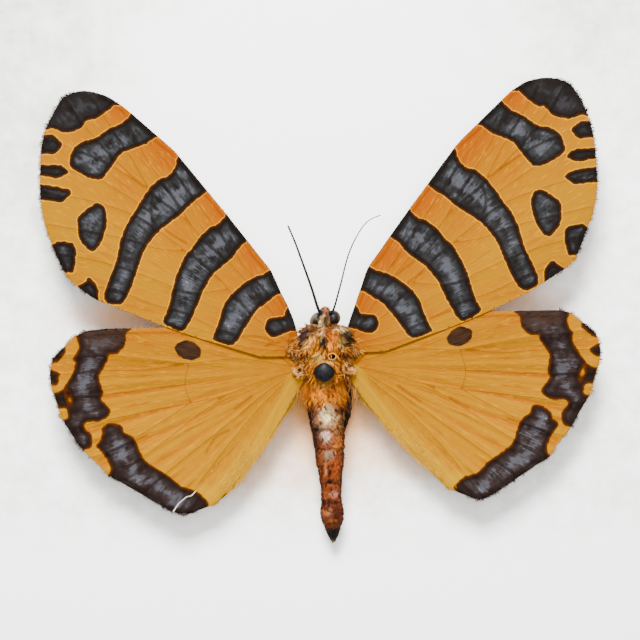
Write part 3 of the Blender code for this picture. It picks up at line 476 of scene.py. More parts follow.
def pleats(points, shape):  # crests and troughs that fan out from the root
    turn = fan(points, shape)[0] * shape["folds"]
    return np.sin(turn * 2 + 1.0) + 0.6 * np.sin(turn * 3.7 + 2.1) + 0.35 * np.sin(turn * 6.1 + 0.4)


def relief(points, shape, lead):  # the pleats' height and the rise of the leading edge
    far = fan(points, shape)[1]
    slow = 0.2 * np.sin(points[:, 0] * 0.33 + 1.7) * np.sin(points[:, 1] * 0.27 + 0.6)
    depth = shape["fold"] * np.clip(far / 14, 0, 1) * np.clip(lead / 5, 0.15, 1)
    rise = shape["rise"] * np.exp(-(lead / 5.5) ** 2)
    return depth * pleats(points, shape) + slow * np.clip(far / 10, 0, 1) + rise


def markDistance(points, shape):  # distance into the nearest dark mark, below 0 outside them all
    best = np.full(len(points), -9.0)
    for ring in shape["marks"].values():
        best = np.maximum(best, signed(points, curve(ring, 0.25, True)))
    if "hole" in shape:
        best = np.minimum(best, -ovals(points, shape["hole"]))
    return best


def measures(points, shape, rim):  # what the wing's paint reads at each point
    angle, far = fan(points, shape)
    veins = [lineDistance(points, curve(line, 0.3)) for line in shape["veins"].values()]
    leading = curve(shape["outline"][1:shape["leading"]], 0.4)
    return {
        "mark": markDistance(points, shape), "vein": np.min(veins, axis=0),
        "lead": lineDistance(points, leading), "edge": lineDistance(points, closed(rim)),
        "fan": np.stack([angle * 20, far, far * 0], 1), "pleat": pleats(points, shape),
    }


def wingNet(shape, step=0.21):  # flat points, triangles and measures of a right wing
    rim = curve(shape["outline"], step, True)
    n = len(rim)
    wobble = np.sin(np.arange(n) * 2.1) * 0.5 + np.sin(np.arange(n) * 0.77 + 1) * 0.5
    out = unit(np.stack([np.gradient(rim[:, 1]), -np.gradient(rim[:, 0])], 1))
    rim = rim - out * wobble[:, None] * 0.035
    low, high = rim.min(0), rim.max(0)
    x, y = np.meshgrid(np.arange(low[0], high[0], step), np.arange(low[1], high[1], step * 0.87))
    x = x + (np.arange(len(x)) % 2)[:, None] * step / 2
    grid = np.stack([x.ravel(), y.ravel()], 1)
    grid = grid[within(grid, rim)]
    lines = np.concatenate([curve(line, step) for line in shape["veins"].values()])
    lines = lines[within(lines, rim)]
    kept, apart = [], step * 0.6
    for point in lines:  # vein points that keep their distance from each other
        if not kept or np.min(np.linalg.norm(np.array(kept) - point, axis=1)) > apart:
            kept.append(point)
    lines = np.array(kept)
    lines = lines[lineDistance(lines, closed(rim)) > apart]
    clear = np.min([lineDistance(grid, curve(line, 0.4)) for line in shape["veins"].values()], axis=0)
    grid = grid[(clear > step * 0.55) & (lineDistance(grid, closed(rim)) > apart)]
    points = np.concatenate([rim, lines, grid])
    flat, _, faces, *_ = delaunay_2d_cdt([Vector(p) for p in points], [], [list(range(n))], 1, 1e-6, False)
    flat, faces = np.array([tuple(v) for v in flat]), np.array(faces)
    a, b, c = (flat[faces[:, k]] for k in range(3))
    turned = (b[:, 0] - a[:, 0]) * (c[:, 1] - a[:, 1]) - (b[:, 1] - a[:, 1]) * (c[:, 0] - a[:, 0]) < 0
    faces[turned] = faces[turned][:, ::-1]
    return {"rim": rim, "flat": flat, "faces": faces, "measures": measures(flat, shape, rim)}


def surface(points, shape, side, data):  # heights of the top and the underside above the card
    middle = planeHeight(placed(points, shape, side), shape) + relief(points, shape, data["lead"])
    far = data["fan"][:, 1]
    sag = shape["droop"] * np.exp(-data["edge"] ** 2) * np.clip(data["lead"] / 4, 0, 1)
    middle = middle - sag * np.clip(far / 5 - 1, 0, 1) - shape["tuck"] * np.exp(-(data["lead"] / 1.3) ** 2)
    ridge = np.exp(-(data["vein"] / 0.13) ** 2)
    half = 0.012 + 0.03 * np.clip(data["edge"] / 0.4, 0, 1) + shape["bead"] * np.exp(-(data["lead"] / 0.35) ** 2)
    root = 0.2 * np.exp(-(far / 1.6) ** 2)
    return middle + half + 0.07 * ridge + root, middle - half - 0.05 * ridge - root


def wingUv(points, under):  # the upper side in the left half of the map, the underside in the right half
    return (points - [0, -20]) / 46 * [0.49, 0.98] + [0.5 * under + 0.005, 0.01]


def addWing(shape, side, net, paint):
    flat, faces, n = net["flat"], net["faces"], len(net["flat"])
    top, bottom = surface(flat, shape, side, net["measures"])
    xy = placed(flat, shape, side)
    verts = np.concatenate([np.column_stack([xy, cardTop + top]), np.column_stack([xy, cardTop + bottom])])
    edges = np.concatenate([faces[:, [0, 1]], faces[:, [1, 2]], faces[:, [2, 0]]])
    seen = {(a, b) for a, b in edges.tolist()}
    rimEdges = np.array([(a, b) for a, b in seen if (b, a) not in seen])
    walls = np.column_stack([rimEdges[:, 1], rimEdges[:, 0], rimEdges[:, 0] + n, rimEdges[:, 1] + n])
    under = faces[:, ::-1] + n
    if side == "left":
        faces, under, walls = faces[:, ::-1], under[:, ::-1], walls[:, ::-1]
    uv = np.concatenate([wingUv(flat, 0), wingUv(flat, 1)])
    wallUv = np.concatenate([uv[:n], uv[:n]])
    loops = np.concatenate([uv[faces.ravel()], uv[under.ravel()], wallUv[walls.ravel()]])
    name = f"{shape['name']}_{side}"
    layers = dict(net["measures"])
    layers["mark"] = np.maximum(layers["mark"], ovals(xy, ownMarks.get(name, [])))
    far = np.min([lineDistance(xy, curve(line, 0.2)) for line in creases[name]], axis=0)
    layers["crease"] = np.maximum(0.5 - far, 0)  # nearness, so that a mesh without it reads 0
    if name in tears:
        layers["tear"] = np.clip(0.5 + signed(xy, np.array(tears[name])), 0, 1)
    layers = {key: np.concatenate([value, value]) for key, value in layers.items()}
    made = verts, faces.tolist() + under.tolist() + walls.tolist(), loops
    piece(name + "_membrane", made, paint, [name], layers)


def addFringe(shape, side, net, paint):  # the short scales that stand out all round a wing's margin
    step = 0.045
    rim = curve(shape["outline"], step, True)
    counts = [max(1, round(np.linalg.norm(np.subtract(b, a)) / step))
              for a, b in zip(shape["outline"], shape["outline"][1:] + shape["outline"][:1])]
    starts = np.concatenate([[0], np.cumsum(counts)])
    index = np.arange(len(rim))
    outer = (index >= starts[shape["fringeFrom"]]) & (index < starts[shape["fringeTo"]])
    ahead = unit(np.gradient(rim, axis=0))
    out = np.stack([-ahead[:, 1], ahead[:, 0]], 1)
    picked = np.where(outer | (random.random(len(rim)) < 0.3))[0]
    n = len(picked)
    length = np.where(outer[picked], random.uniform(0.2, 0.52, n), random.uniform(0.08, 0.16, n))
    clump = 0.75 + 0.35 * np.sin(picked * 0.21) * np.sin(picked * 0.057 + 1)
    flat = rim[picked] - out[picked] * 0.06
    data = measures(flat, shape, net["rim"])
    top, bottom = surface(flat, shape, side, data)
    tips = rim[picked] + out[picked] + ahead[picked] * random.normal(0, 0.16, (n, 1))
    xy, tips = placed(flat, shape, side), placed(tips, shape, side)
    name = f"{shape['name']}_{side}"
    data["mark"] = np.maximum(data["mark"], ovals(xy, ownMarks.get(name, [])))
    lies = np.column_stack([tips - xy, random.normal(0, 0.06, n)])
    roots = np.column_stack([xy, cardTop + (top + bottom) / 2])
    made = tufts(roots, np.tile([0, 0, 1.0], (n, 1)), lies, length * clump + 0.06, random.uniform(0.035, 0.07, n),
                 wingUv(flat, 0), random.normal(0, 0.08, n), 0.0)
    piece(name + "_fringe", made, paint, (), {key: perTuft(value) for key, value in data.items()})


# fold is the strength of the pleats' streaks and of the painted shade in their troughs, halo of the pale line round
# the marks, plain of the plain brown near the root and of the pale margin; soft is how soft the marks' edge is, core
# how deep in a mark the slate starts
wingLooks = {
    "forewing": {"deep": shade(120, 57, 0), "middle": shade(124, 75, 0), "pale": shade(126, 83, 0),
                 "gold": shade(152, 100, 2), "rust": shade(52, 22, 6), "soot": shade(14, 10, 8),
                 "dull": shade(28, 28, 29), "sheen": shade(53, 54, 58),
                 "fold": 0.4, "halo": 0.5, "soft": 0.01, "core": 0.35, "plain": 0.0},
    "hindwing": {"deep": shade(124, 76, 0), "middle": shade(128, 82, 0), "pale": shade(132, 87, 0),
                 "gold": shade(160, 110, 6), "rust": shade(58, 26, 4), "soot": shade(20, 12, 9),
                 "dull": shade(34, 25, 24), "sheen": shade(54, 53, 57),
                 "fold": 0.6, "halo": 0.0, "soft": 0.045, "core": 0.4, "plain": 1.0},
}


def wingPaint(name, deep, middle, pale, gold, rust, soot, dull, sheen, fold, halo, soft, core, plain):
    p = Paint(name, 0.6, 0.0)
    keys = ("mark", "vein", "lead", "edge", "pleat", "crease", "tear")
    mark, vein, lead, edge, pleat, crease, tear = (p.attribute(key) for key in keys)
    fanned = p.attribute("fan", "Vector")
    angle, far = p.axis(fanned, 0), p.axis(fanned, 1)
    place = p.millimetres()
    streak = p.noise(p.scaled(fanned, (1.6, 0.2, 1)), 1.0, 3.0, 0.6)  # along the pleats
    fine = p.noise(p.scaled(fanned, (5.0, 0.7, 1)), 1.0, 2.0, 0.6)
    grain = p.noise(place, 7.0, 2.0, 0.7)
    ripple = p.noise(place, 1.9, 2.0, 0.5)
    patch = p.noise(place, 0.7, 3.0, 0.6)
    broad = p.noise(place, 0.28, 2.0)
    # the orange ground, paler away from the leading edge, with its streaks, veins and margins, and painted shade in
    # the pleats' troughs and along the creases
    margin = (1.9 - edge + (fine - 0.5)).ramp(0.0, 1.0) * (-11 - angle).ramp(0.0, 3.0)
    rough = mark + (grain - 0.5) * 0.12 + (ripple - 0.5) * 0.3
    ground = p.layered(
        deep, (middle, (lead + (broad - 0.5) * 3).ramp(0.0, 4.0)), (pale, (lead + (broad - 0.5) * 6).ramp(4.0, 11.0)),
        (shade(112, 52, 0), (streak - 0.5).ramp(0.04, 0.2) * fold),
        # painted shade in the pleats' troughs
        (shade(124, 58, 0), ((fine - 0.5) * 2 - pleat).ramp(0.2, 1.7) * fold),
        (gold, (fine - 0.5).ramp(0.03, 0.22) * 0.6),
        (shade(88, 36, 0), (0.08 - vein).ramp(0.0, 0.07) * 0.5),
        (shade(106, 44, 0), (lead - 0.24).ramp(0.0, 0.12) * (0.6 - lead).ramp(0.0, 0.12) * 0.6),
        (shade(141, 101, 4), margin * 0.9 * plain),
        # painted shade along the creases
        (shade(98, 40, 0), (crease + (grain - 0.5) * 0.3).ramp(0.25, 0.48) * 0.6),
        (shade(180, 130, 28), rough.ramp(-0.12, -0.06) * halo))
    # the dark marks: a rusty rim, then slate, partly the scales' own grey and partly a painted sheen with painted
    # glints, and plain brown where the look asks for it
    rim = p.mix(rust, soot, rough.ramp(0.0, 0.32 + soft))
    bright = (streak - 0.5) + (fine - 0.5) * 1.2 + (patch - 0.5) * 2.6
    inner = rough.least(edge + 0.1)
    slate = p.layered(
        soot, (dull, bright.ramp(-0.6, 0.1)), (sheen, (bright + (inner - 0.9) * 0.5).ramp(0.0, 0.55)),
        # painted glints
        (shade(136, 134, 134), (bright + (grain - 0.5) * 2.4).ramp(0.75, 1.1) * 0.7),
        (soot, (0.22 - vein + (grain - 0.5) * 0.1).ramp(0.0, 0.12) * 0.75))
    lit = lead.ramp(0.0, 1.2) * (-far).ramp(-31.0, -29.0) * 0.75 + 0.25  # less slate at the edge and the tip
    brownTone = p.mix(shade(42, 25, 14), shade(22, 13, 9), (fine - 0.5).ramp(-0.02, 0.14))
    dark = p.layered(rim, (slate, (inner + (patch - 0.5) * 0.7).ramp(core, core + 0.5) * lit),
                     (brownTone, ((-far).ramp(-15.0, -12.0) + (-lead).ramp(-2.4, -1.2) * 0.6) * plain))
    # the slit shows the card's colour on the tear's line, and only where the wing is dark
    slit = (0.085 - edge * 0.02 - (tear - 0.5).most(0.5 - tear)).ramp(0.0, 0.05) * mark.ramp(-0.05, 0.05)
    colour = p.layered(ground, (dark, rough.ramp(-0.03 - soft, 0.03 + soft)), (shade(196, 188, 174), slit))
    p.set({"Base Color": colour, "Coat Weight": mark.ramp(0.1, 0.6) * 0.05, "Coat Roughness": 0.4})
    p.bump(grain * 0.5 + fine * 0.8 + streak * 1.2, 0.07, 0.6)
    return p


for shape in (foreWing, hindWing):
    paint = wingPaint(shape["name"] + "Scales", **wingLooks[shape["name"]])
    net = wingNet(shape)
    for side in ("left", "right"):
        addWing(shape, side, net, paint)
        addFringe(shape, side, net, paint)
print("wings")


# body: one skin from the face to the tip of the tail, then its coat

def abdomenMiddle(y):  # x and height of the bent abdomen's middle
    along = min(max((-7 - y) / 16.4, 0), 1)
    return bodyX + 0.16 * min(along * 4, 1) + 0.74 * along**0.9, 4.45 - 2.35 * along**1.2


frontRows = [  # y, middle x, middle height, half width, half height
    (1.25, 0.55, 4.3, 0.06, 0.1), (1.1, 0.55, 4.32, 0.26, 0.48), (0.8, 0.55, 4.38, 0.48, 0.8),
    (0.35, 0.55, 4.4, 0.8, 0.95), (-0.1, 0.55, 4.4, 0.84, 0.92), (-0.5, 0.52, 4.42, 0.7, 0.78),
    (-0.85, 0.5, 4.45, 0.66, 0.78), (-1.15, 0.5, 4.5, 1.0, 1.2), (-1.6, 0.5, 4.6, 1.48, 1.7),
    (-2.4, 0.5, 4.6, 1.82, 2.12), (-3.6, 0.5, 4.6, 1.95, 2.28), (-4.8, 0.5, 4.6, 1.88, 2.15),
    (-5.8, 0.5, 4.6, 1.62, 1.85), (-6.5, 0.5, 4.55, 1.4, 1.55),
]
backRows = [  # y, half width; the middle follows the bend of the abdomen
    (-7.1, 1.5), (-7.9, 1.66), (-8.9, 1.76), (-10.5, 1.62), (-12.6, 1.58), (-14.7, 1.42), (-16.3, 1.19),
    (-17.5, 1.05), (-18.9, 1.0), (-20.0, 1.18), (-21.0, 1.12), (-21.9, 0.82), (-22.6, 0.56), (-23.15, 0.3),
    (-23.4, 0.06),
]
tegula = {"x": 1.75, "y": -1.9, "z": 6.45, "half": (0.8, 1.35, 0.6)}
belts = (-9.3, -11.5, -13.5, -15.3, -17.1, -19.15, -21.5)  # where the rings of the abdomen overlap


def bodyRings():
    rows = curve(frontRows + [(y, *abdomenMiddle(y), w, w * 0.95) for y, w in backRows], 0.09)
    turn = np.linspace(0, 2 * np.pi, 84, endpoint=False)
    y, x, z, w, h = (rows[:, k, None] for k in range(5))
    across, up = np.cos(turn) * w, np.sin(turn) * h
    for belt in belts:  # each ring swells, then drops to a groove where the next one starts
        past = (belt - y) / 0.5
        grow = np.where(y < belt, -0.06 * np.exp(-past * 1.6), 0.03 * np.exp(-past**2))
        across, up = across * (1 + grow), up * (1 + grow)
    wrinkle = np.where(y < -8, 1.0, 0.3) * 0.02 * (np.sin(turn * 7 + y * 2.3) * np.sin(y * 5.1 + turn * 2)
                                                  + np.sin(turn * 17 + y) * np.sin(y * 9 - turn * 3))
    across, up = across * (1 + wrinkle), up * (1 + wrinkle)
    radius = np.hypot(across, up)
    for side in (-1, 1):  # the shoulder lobes swell out of the thorax
        a, b, c = tegula["half"]
        k = np.sqrt(np.clip(1 - ((y - tegula["y"]) / b) ** 2, 0, 1))
        dx, dz = across / radius, up / radius
        px, pz = side * tegula["x"], tegula["z"] - z
        ka, kc = np.maximum(k * a, 1e-3), np.maximum(k * c, 1e-3)
        square = (dx / ka) ** 2 + (dz / kc) ** 2  # where each ray out of the body leaves the lobe
        cross = dx * px / ka**2 + dz * pz / kc**2
        rest = (px / ka) ** 2 + (pz / kc) ** 2 - 1
        root = cross * cross - square * rest
        reach = np.where(root > 0, (cross + np.sqrt(np.maximum(root, 0))) / square, 0)
        grown = np.maximum(radius, reach)
        across, up, radius = across * grown / radius, up * grown / radius, grown
    return np.stack(np.broadcast_arrays(x + across, y, z + up + cardTop), -1)


def spots(points, base, patches):  # soft-edged patches over a base colour, seen from above
    colour = np.tile(np.array(base, float), (len(points), 1))
    for *oval, tone in patches:
        amount = 1 / (1 + ovalReach(points, *oval)[:, None] ** 5)
        colour = colour * (1 - amount) + np.array(linear(*tone)) * amount
    return colour


cream, orange, darkOrange, brown = (214, 176, 108), (172, 98, 10), (132, 64, 6), (66, 34, 14)
slate, soot, maroon, tan = (26, 25, 30), (9, 8, 8), (34, 12, 7), (140, 96, 58)
headSpots = [  # x, y, half sizes, lean, tone
    (0.5, 1.2, 0.6, 0.6, 0, (160, 92, 60)), (0.25, 1.1, 0.2, 0.4, 0, (112, 36, 12)),
    (0.35, 0.55, 0.3, 0.2, 0, (158, 112, 90)), (0.3, -0.25, 0.34, 0.5, 0, (216, 176, 116)),
    (0.75, 0.25, 0.25, 0.4, 0, brown), (0.5, -0.15, 0.1, 0.4, 0, soot), (-0.25, -0.5, 0.35, 0.14, 0, maroon),
    (-0.75, -0.65, 0.4, 0.3, 30, tan), (1.2, -0.6, 0.5, 0.25, 0, (84, 40, 18)),
    (-0.2, 0.1, 0.2, 0.5, 0, (96, 84, 60)),
]
thoraxSpots = [
    (0.0, -1.1, 0.6, 0.7, 0, (150, 98, 54)), (1.15, -1.2, 0.5, 1.1, 0, (142, 62, 4)),
    (0.2, -1.5, 0.14, 0.7, 0, cream), (0.66, -1.6, 0.14, 0.7, 0, brown),
    (-1.5, -1.75, 0.8, 1.35, -18, slate), (2.78, -1.85, 0.8, 1.25, 10, (16, 8, 5)),
    (2.15, -0.9, 0.6, 0.28, -25, cream), (-1.1, -2.4, 0.35, 0.8, -22, (200, 142, 68)),
    (-1.0, -3.4, 0.75, 1.0, -15, (196, 116, 14)), (1.4, -2.9, 0.7, 0.95, 20, (184, 104, 16)),
    (0.37, -2.45, 0.36, 0.62, 0, (24, 21, 16)), (2.25, -2.4, 0.3, 0.35, 0, (150, 122, 66)),
    (2.45, -3.35, 0.4, 0.2, 0, maroon), (-0.26, -3.95, 0.42, 0.4, 0, (190, 156, 76)),
    (1.15, -4.35, 0.42, 0.16, 0, (206, 180, 104)), (2.95, -4.0, 0.7, 0.6, 0, (120, 66, 18)),
    (-2.0, -2.7, 0.2, 0.9, 0, maroon), (-1.8, -4.95, 0.32, 0.5, 0, maroon), (2.6, -5.0, 0.4, 0.7, 0, brown),
    (0.3, -6.75, 1.1, 0.25, 0, (134, 90, 34)), (-1.7, -6.6, 0.5, 0.6, 0, (186, 138, 50)),
    (-1.0, -7.7, 0.8, 0.4, 0, (128, 60, 0)), (1.2, -7.5, 0.6, 0.45, 0, (124, 58, 0)),
    (0.4, -8.4, 1.3, 0.4, 0, (190, 108, 4)),
]
abdomenSpots = [
    (1.85, -13.1, 0.6, 0.75, 0, (142, 74, 18)), (1.9, -11.4, 0.5, 0.9, 0, (126, 78, 34)),
    (-0.12, -11.5, 0.5, 0.55, 8, maroon),
    (-0.7, -10.4, 0.34, 0.7, 8, (132, 84, 56)), (-0.5, -12.7, 0.4, 0.9, 0, (52, 20, 9)),
    (0.78, -10.05, 0.66, 0.85, 0, (240, 208, 150)), (1.7, -10.4, 0.45, 0.25, 20, (158, 122, 82)),
    (0.6, -12.2, 0.46, 0.6, 0, (190, 156, 132)), (0.95, -14.2, 0.5, 0.5, 0, (140, 108, 84)),
    (0.2, -15.9, 0.12, 0.7, 0, (50, 18, 8)), (-0.1, -13.2, 0.4, 0.5, 0, (74, 32, 12)),
    (0.95, -16.0, 0.12, 0.8, 0, (58, 20, 8)), (0.6, -15.6, 0.14, 0.6, 0, (168, 106, 62)),
    (1.6, -15.4, 0.5, 0.7, 0, (130, 58, 16)),
    (1.05, -17.1, 0.4, 0.2, 0, (28, 10, 7)), (1.5, -18.35, 0.45, 0.35, 15, (150, 92, 72)),
    (1.05, -19.2, 1.1, 0.2, 0, (40, 16, 8)), (1.2, -20.4, 1.3, 1.2, 0, (74, 30, 12)),
    (0.35, -20.4, 0.25, 0.35, 0, (150, 72, 18)), (1.75, -20.6, 0.4, 0.8, 0, (54, 17, 8)),
    (0.95, -20.3, 0.3, 0.4, 0, (134, 84, 52)), (1.35, -21.2, 0.4, 0.2, 0, (142, 76, 24)),
    (1.4, -22.6, 1.2, 0.75, 0, (14, 13, 9)), (1.35, -23.4, 0.3, 0.12, 0, (92, 72, 44)),
]


waist = -8.6  # where the thorax ends and the abdomen starts


def bodyColour(points, outs):
    x, y = points[:, 0], points[:, 1]
    head = spots(points, linear(124, 82, 44), headSpots)
    thorax = spots(points, linear(162, 90, 0), thoraxSpots) * 1.06
    abdomen = spots(points, linear(110, 50, 13), abdomenSpots)
    rim = np.clip((abs(outs[:, 0]) - 0.7) / 0.22, 0, 1)[:, None]
    abdomen = abdomen * (1 - 0.65 * rim)
    back = np.clip((waist - y) / 0.5, 0, 1)[:, None]
    front = np.clip((y + 0.95) / 0.2, 0, 1)[:, None]
    colour = head * front + thorax * (1 - front)
    colour = colour * (1 - back) + abdomen * back
    under = np.clip(0.15 - outs[:, 2] * 1.6, 0, 1)[:, None]
    below = np.where((y < waist)[:, None], linear(74, 36, 14), linear(120, 74, 30))
    below = np.where((y < -22)[:, None], colour, below)
    blotch = np.sin(x * 3.1 + y * 1.7) * np.sin(y * 4.3 - x * 2.2)
    return (colour * (1 - under) + below * under) * (1 + 0.22 * blotch[:, None])


def bodyLie(points):  # which way the hair points: forward on the face, back from the collar on
    x, y, flat, one = points[:, 0] - bodyX, points[:, 1], 0 * points[:, 0], np.ones(len(points))
    ahead = (y > 0.45)[:, None] * np.stack([x * 0.7, one, 0.5 + flat], 1)
    collar = ((y <= 0.45) & (y > -1.5))[:, None] * np.stack([x * 0.8, -one, 0.1 + flat], 1)
    trunk = ((y <= -1.5) & (y > -8.8))[:, None] * np.stack([x * 0.45, -one, flat], 1)
    tail = (y <= -8.8)[:, None] * np.stack([0.05 + x * 0.04, -one, -0.1 + flat], 1)
    return ahead + collar + trunk + tail


# ovals on the body: x, y, half sizes
snout = (0.55, 0.7, 0.58, 0.74)  # hair in front of the eyes keeps inside it
bare = [  # pin hole, dome and eyes, which hair keeps off
    (1.26, -3.83, 0.31, 0.24), (0.44, -5.5, 1.08, 0.9), (0.44, -4.9, 0.7, 0.7), (1.4, 0.3, 0.64, 0.62),
    (-0.5, 0.05, 0.42, 0.55),
]


def scatter(rings, count, density):  # roots, outward directions and UVs spread over a skin of rings
    rows, sides = rings.shape[:2]
    a, b = rings[:-1], np.roll(rings[:-1], -1, axis=1)
    c, d = np.roll(rings[1:], -1, axis=1), rings[1:]
    out = np.cross(b - a, d - a)
    out = np.where(((out * (a - rings[:-1].mean(1, keepdims=True))).sum(-1) < 0)[..., None], -out, out)
    weight = np.linalg.norm(out, axis=-1) * density((a + c) / 2, unit(out))
    pick = random.choice(weight.size, count, p=weight.ravel() / weight.sum())
    i, j = np.divmod(pick, sides)
    s, t = random.random((2, count, 1))
    root = (a[i, j] * (1 - s) + b[i, j] * s) * (1 - t) + (d[i, j] * (1 - s) + c[i, j] * s) * t
    uv = np.stack([(j + s[:, 0]) / sides, (i + t[:, 0]) / (rows - 1)], 1)
    return root, unit(out[i, j]), uv


def evenly(p, o):  # the same density all over
    return np.ones(p.shape[:-1])


def turned(lies, outs, angles):  # directions swung about outs
    c, s = np.cos(angles)[:, None], np.sin(angles)[:, None]
    return lies * c + np.cross(outs, lies) * s


def coat(name, rings, slot, count, density, lengths, widths, lift, stray, spread):
    roots, outs, uvs = scatter(rings, count, density)
    lies = unit(squareTo(outs, bodyLie(roots)))
    heads = random.choice(count, count // spread, replace=False)  # each lock gathers the hairs near its head
    lock = np.concatenate([np.argmin(((part[:, None] - roots[heads]) ** 2).sum(-1), axis=1)
                           for part in np.array_split(roots, 40)])
    locks = len(heads)
    lockLie = turned(lies[heads], outs[heads], random.normal(0, stray, locks))
    lockLength = random.uniform(*lengths, locks)
    tips = (roots[heads] + lockLie * lockLength[:, None])[lock] + random.normal(0, 0.05, (count, 3))
    lies = squareTo(outs, tips - roots)
    length = np.linalg.norm(lies, axis=1) * random.uniform(0.75, 1.1, count)
    lies = unit(lies)
    keep = np.ones(count, bool)
    for oval in bare:
        for _ in range(6):  # hair that would reach over is cut shorter
            tips = roots + lies * length[:, None]
            over = (ovalReach(tips, *oval) < 1) & (outs[:, 2] > 0)
            over |= (tips[:, 1] > snout[1]) & (ovalReach(tips, *snout) > 1)
            length = np.where(over, length * 0.6, length)
        keep &= ~((ovalReach(roots, *oval) < 1) & (outs[:, 2] > 0))
    keep &= length > 0.1
    roots, outs, lies, uvs, length, lock = (v[keep] for v in (roots, outs, lies, uvs, length, lock))
    n = len(roots)
    rise = random.uniform(*lift, locks)[lock] + random.uniform(-0.05, 0.05, n)
    made = tufts(roots, outs, lies, length, random.uniform(*widths, n), uvs, rise)
    tone = bodyColour(roots + lies * length[:, None] * 0.5 + random.normal(0, 0.06, (locks, 3))[lock], outs)
    kind = random.random(locks)[lock][:, None]
    tone = np.where((kind < 0.04) & (roots[:, 1:2] > -4.5), tone * 0.5 + np.array(linear(*cream)) * 0.5, tone)
    tone = np.where(kind > 0.89, tone * 0.32, tone)
    tone = tone * np.exp(random.normal(0, 0.22, (locks, 1))[lock] + random.normal(0, 0.18, (n, 1)))
    along = np.tile([0.4] * 3 + [0.8] * 3 + [0.95] * 3 + [1.0], n)[:, None]  # painted shade, darker at the roots deep in the coat
    piece(name, made, coatPaint, (), tinted(perTuft(tone) * along))


def furPaint(name, roughness, level):
    p = Paint(name, roughness, level)
    tint = p.attribute("tint", "Color")
    place = p.millimetres()
    grain = p.noise(p.scaled(place, (9, 4, 9)), 1.0, 3.0, 0.6)
    p.set({"Base Color": p.mix(tint, p.scaled(tint, (0.45, 0.4, 0.38)), (grain - 0.5).ramp(0.0, 0.25) * 0.6)})
    p.bump(grain, 0.06, 0.6)
    return p


skinPaint, coatPaint = furPaint("bodySkin", 0.7, 0.1), furPaint("bodyCoat", 0.75, 0.08)
rings = bodyRings()
made = tube(rings)
skin = made[0][:-2]
tone = bodyColour(skin, unit(skin - np.repeat(rings.mean(1), rings.shape[1], axis=0))) * 0.75
piece("body", made, skinPaint, ["head", "thorax", "tegula_left", "tegula_right", "abdomen", "tail_tuft"],
      tinted(np.concatenate([tone, tone[[0, -1]]])))
coats = {  # lengths, widths and lift are ranges, stray is how far locks turn, spread the hairs in a lock
    "headCoat": {"slot": "fur", "count": 5500, "lengths": (0.3, 0.6), "widths": (0.03, 0.06),
                 "lift": (0.2, 0.6), "stray": 0.3, "spread": 9, "density": lambda p, o: (p[..., 1] > -0.95) * 1.0},
    "thoraxCoat": {"slot": "fur", "count": 12400, "lengths": (0.6, 1.25), "widths": (0.046, 0.092),
                   "lift": (0.12, 0.46), "stray": 0.4, "spread": 12, "density": lambda p, o: (
                       (p[..., 1] <= -0.9) & (p[..., 1] > -8.9)) * (0.6 + 0.8 * (o[..., 2] > 0))},
    "abdomenCoat": {"slot": "abdomen", "count": 12400, "lengths": (0.22, 0.45), "widths": (0.06, 0.12),
                    "lift": (0.02, 0.22), "stray": 0.25, "spread": 12,
                    "density": lambda p, o: (p[..., 1] <= waist) * 1.0},
}
for name, look in coats.items():
    coat(name, rings, **look)
print("body")


# eyes, dome and pin hole

def ball(name, paint, slot, centre, half, nodes=(), narrow=0.0, lean=0):
    # narrow pinches the +Y end, lean turns the ball in plan
    v = np.linspace(0.02, np.pi - 0.02, 40)[:, None]
    u = np.linspace(0, 2 * np.pi, 56, endpoint=False)
    rings = np.stack(np.broadcast_arrays(np.sin(v) * np.cos(u), np.sin(v) * np.sin(u), -np.cos(v)), -1)
    rings[..., 0] *= 1 - narrow * np.clip(rings[..., 1], 0, 1) ** 1.3
    rings = rings * half @ np.array(Matrix.Rotation(math.radians(-lean), 3, "Z"))
    piece(name, tube(rings + raised(centre)), paint, nodes)


eyePaint = Paint("eyeGloss", 0.45, 0.14)
place = eyePaint.millimetres()
cells = eyePaint.node("TexVoronoi", {}, {"Vector": place, "Scale": 14.0})
cloud = eyePaint.noise(place, 1.3, 3.0, 0.6)
x = eyePaint.axis(place, 0)
colour = eyePaint.layered(
    shade(11, 9, 8), (shade(38, 31, 24), (cloud - 0.5).ramp(-0.06, 0.16)),
    (shade(84, 68, 48), ((cloud - 0.5) * 2 - x).ramp(0.1, 0.7) * (cloud - 0.5).ramp(-0.1, 0.1)),  # on the left eye
    (shade(70, 42, 28), (x + (cloud - 0.5) * 0.6).ramp(1.75, 2.0) * 0.8))  # on the right eye
eyePaint.set({"Base Color": colour, "Coat Weight": 0.04, "Coat Roughness": 0.15})
eyePaint.bump(cells, 0.02, 0.5)
eyes = {
    "eye_left": {"centre": (-0.46, 0.06, 4.5), "half": (0.54, 0.82, 0.72), "lean": -32},
    "eye_right": {"centre": (1.42, 0.24, 4.55), "half": (0.74, 0.8, 0.78), "lean": 12},
}
for name, eye in eyes.items():
    ball(name + "_globe", eyePaint, "eye", nodes=[name], **eye)

domePaint = speckled("domeGloss", 0.46, 0.1, 4.0, shade(7, 7, 8), shade(20, 21, 24), (-0.1, 0.2), 0.05, 0.4)
ball("dome", domePaint, "dark", (0.44, -5.4, 6.5), (1.12, 1.06, 0.62), narrow=0.42)

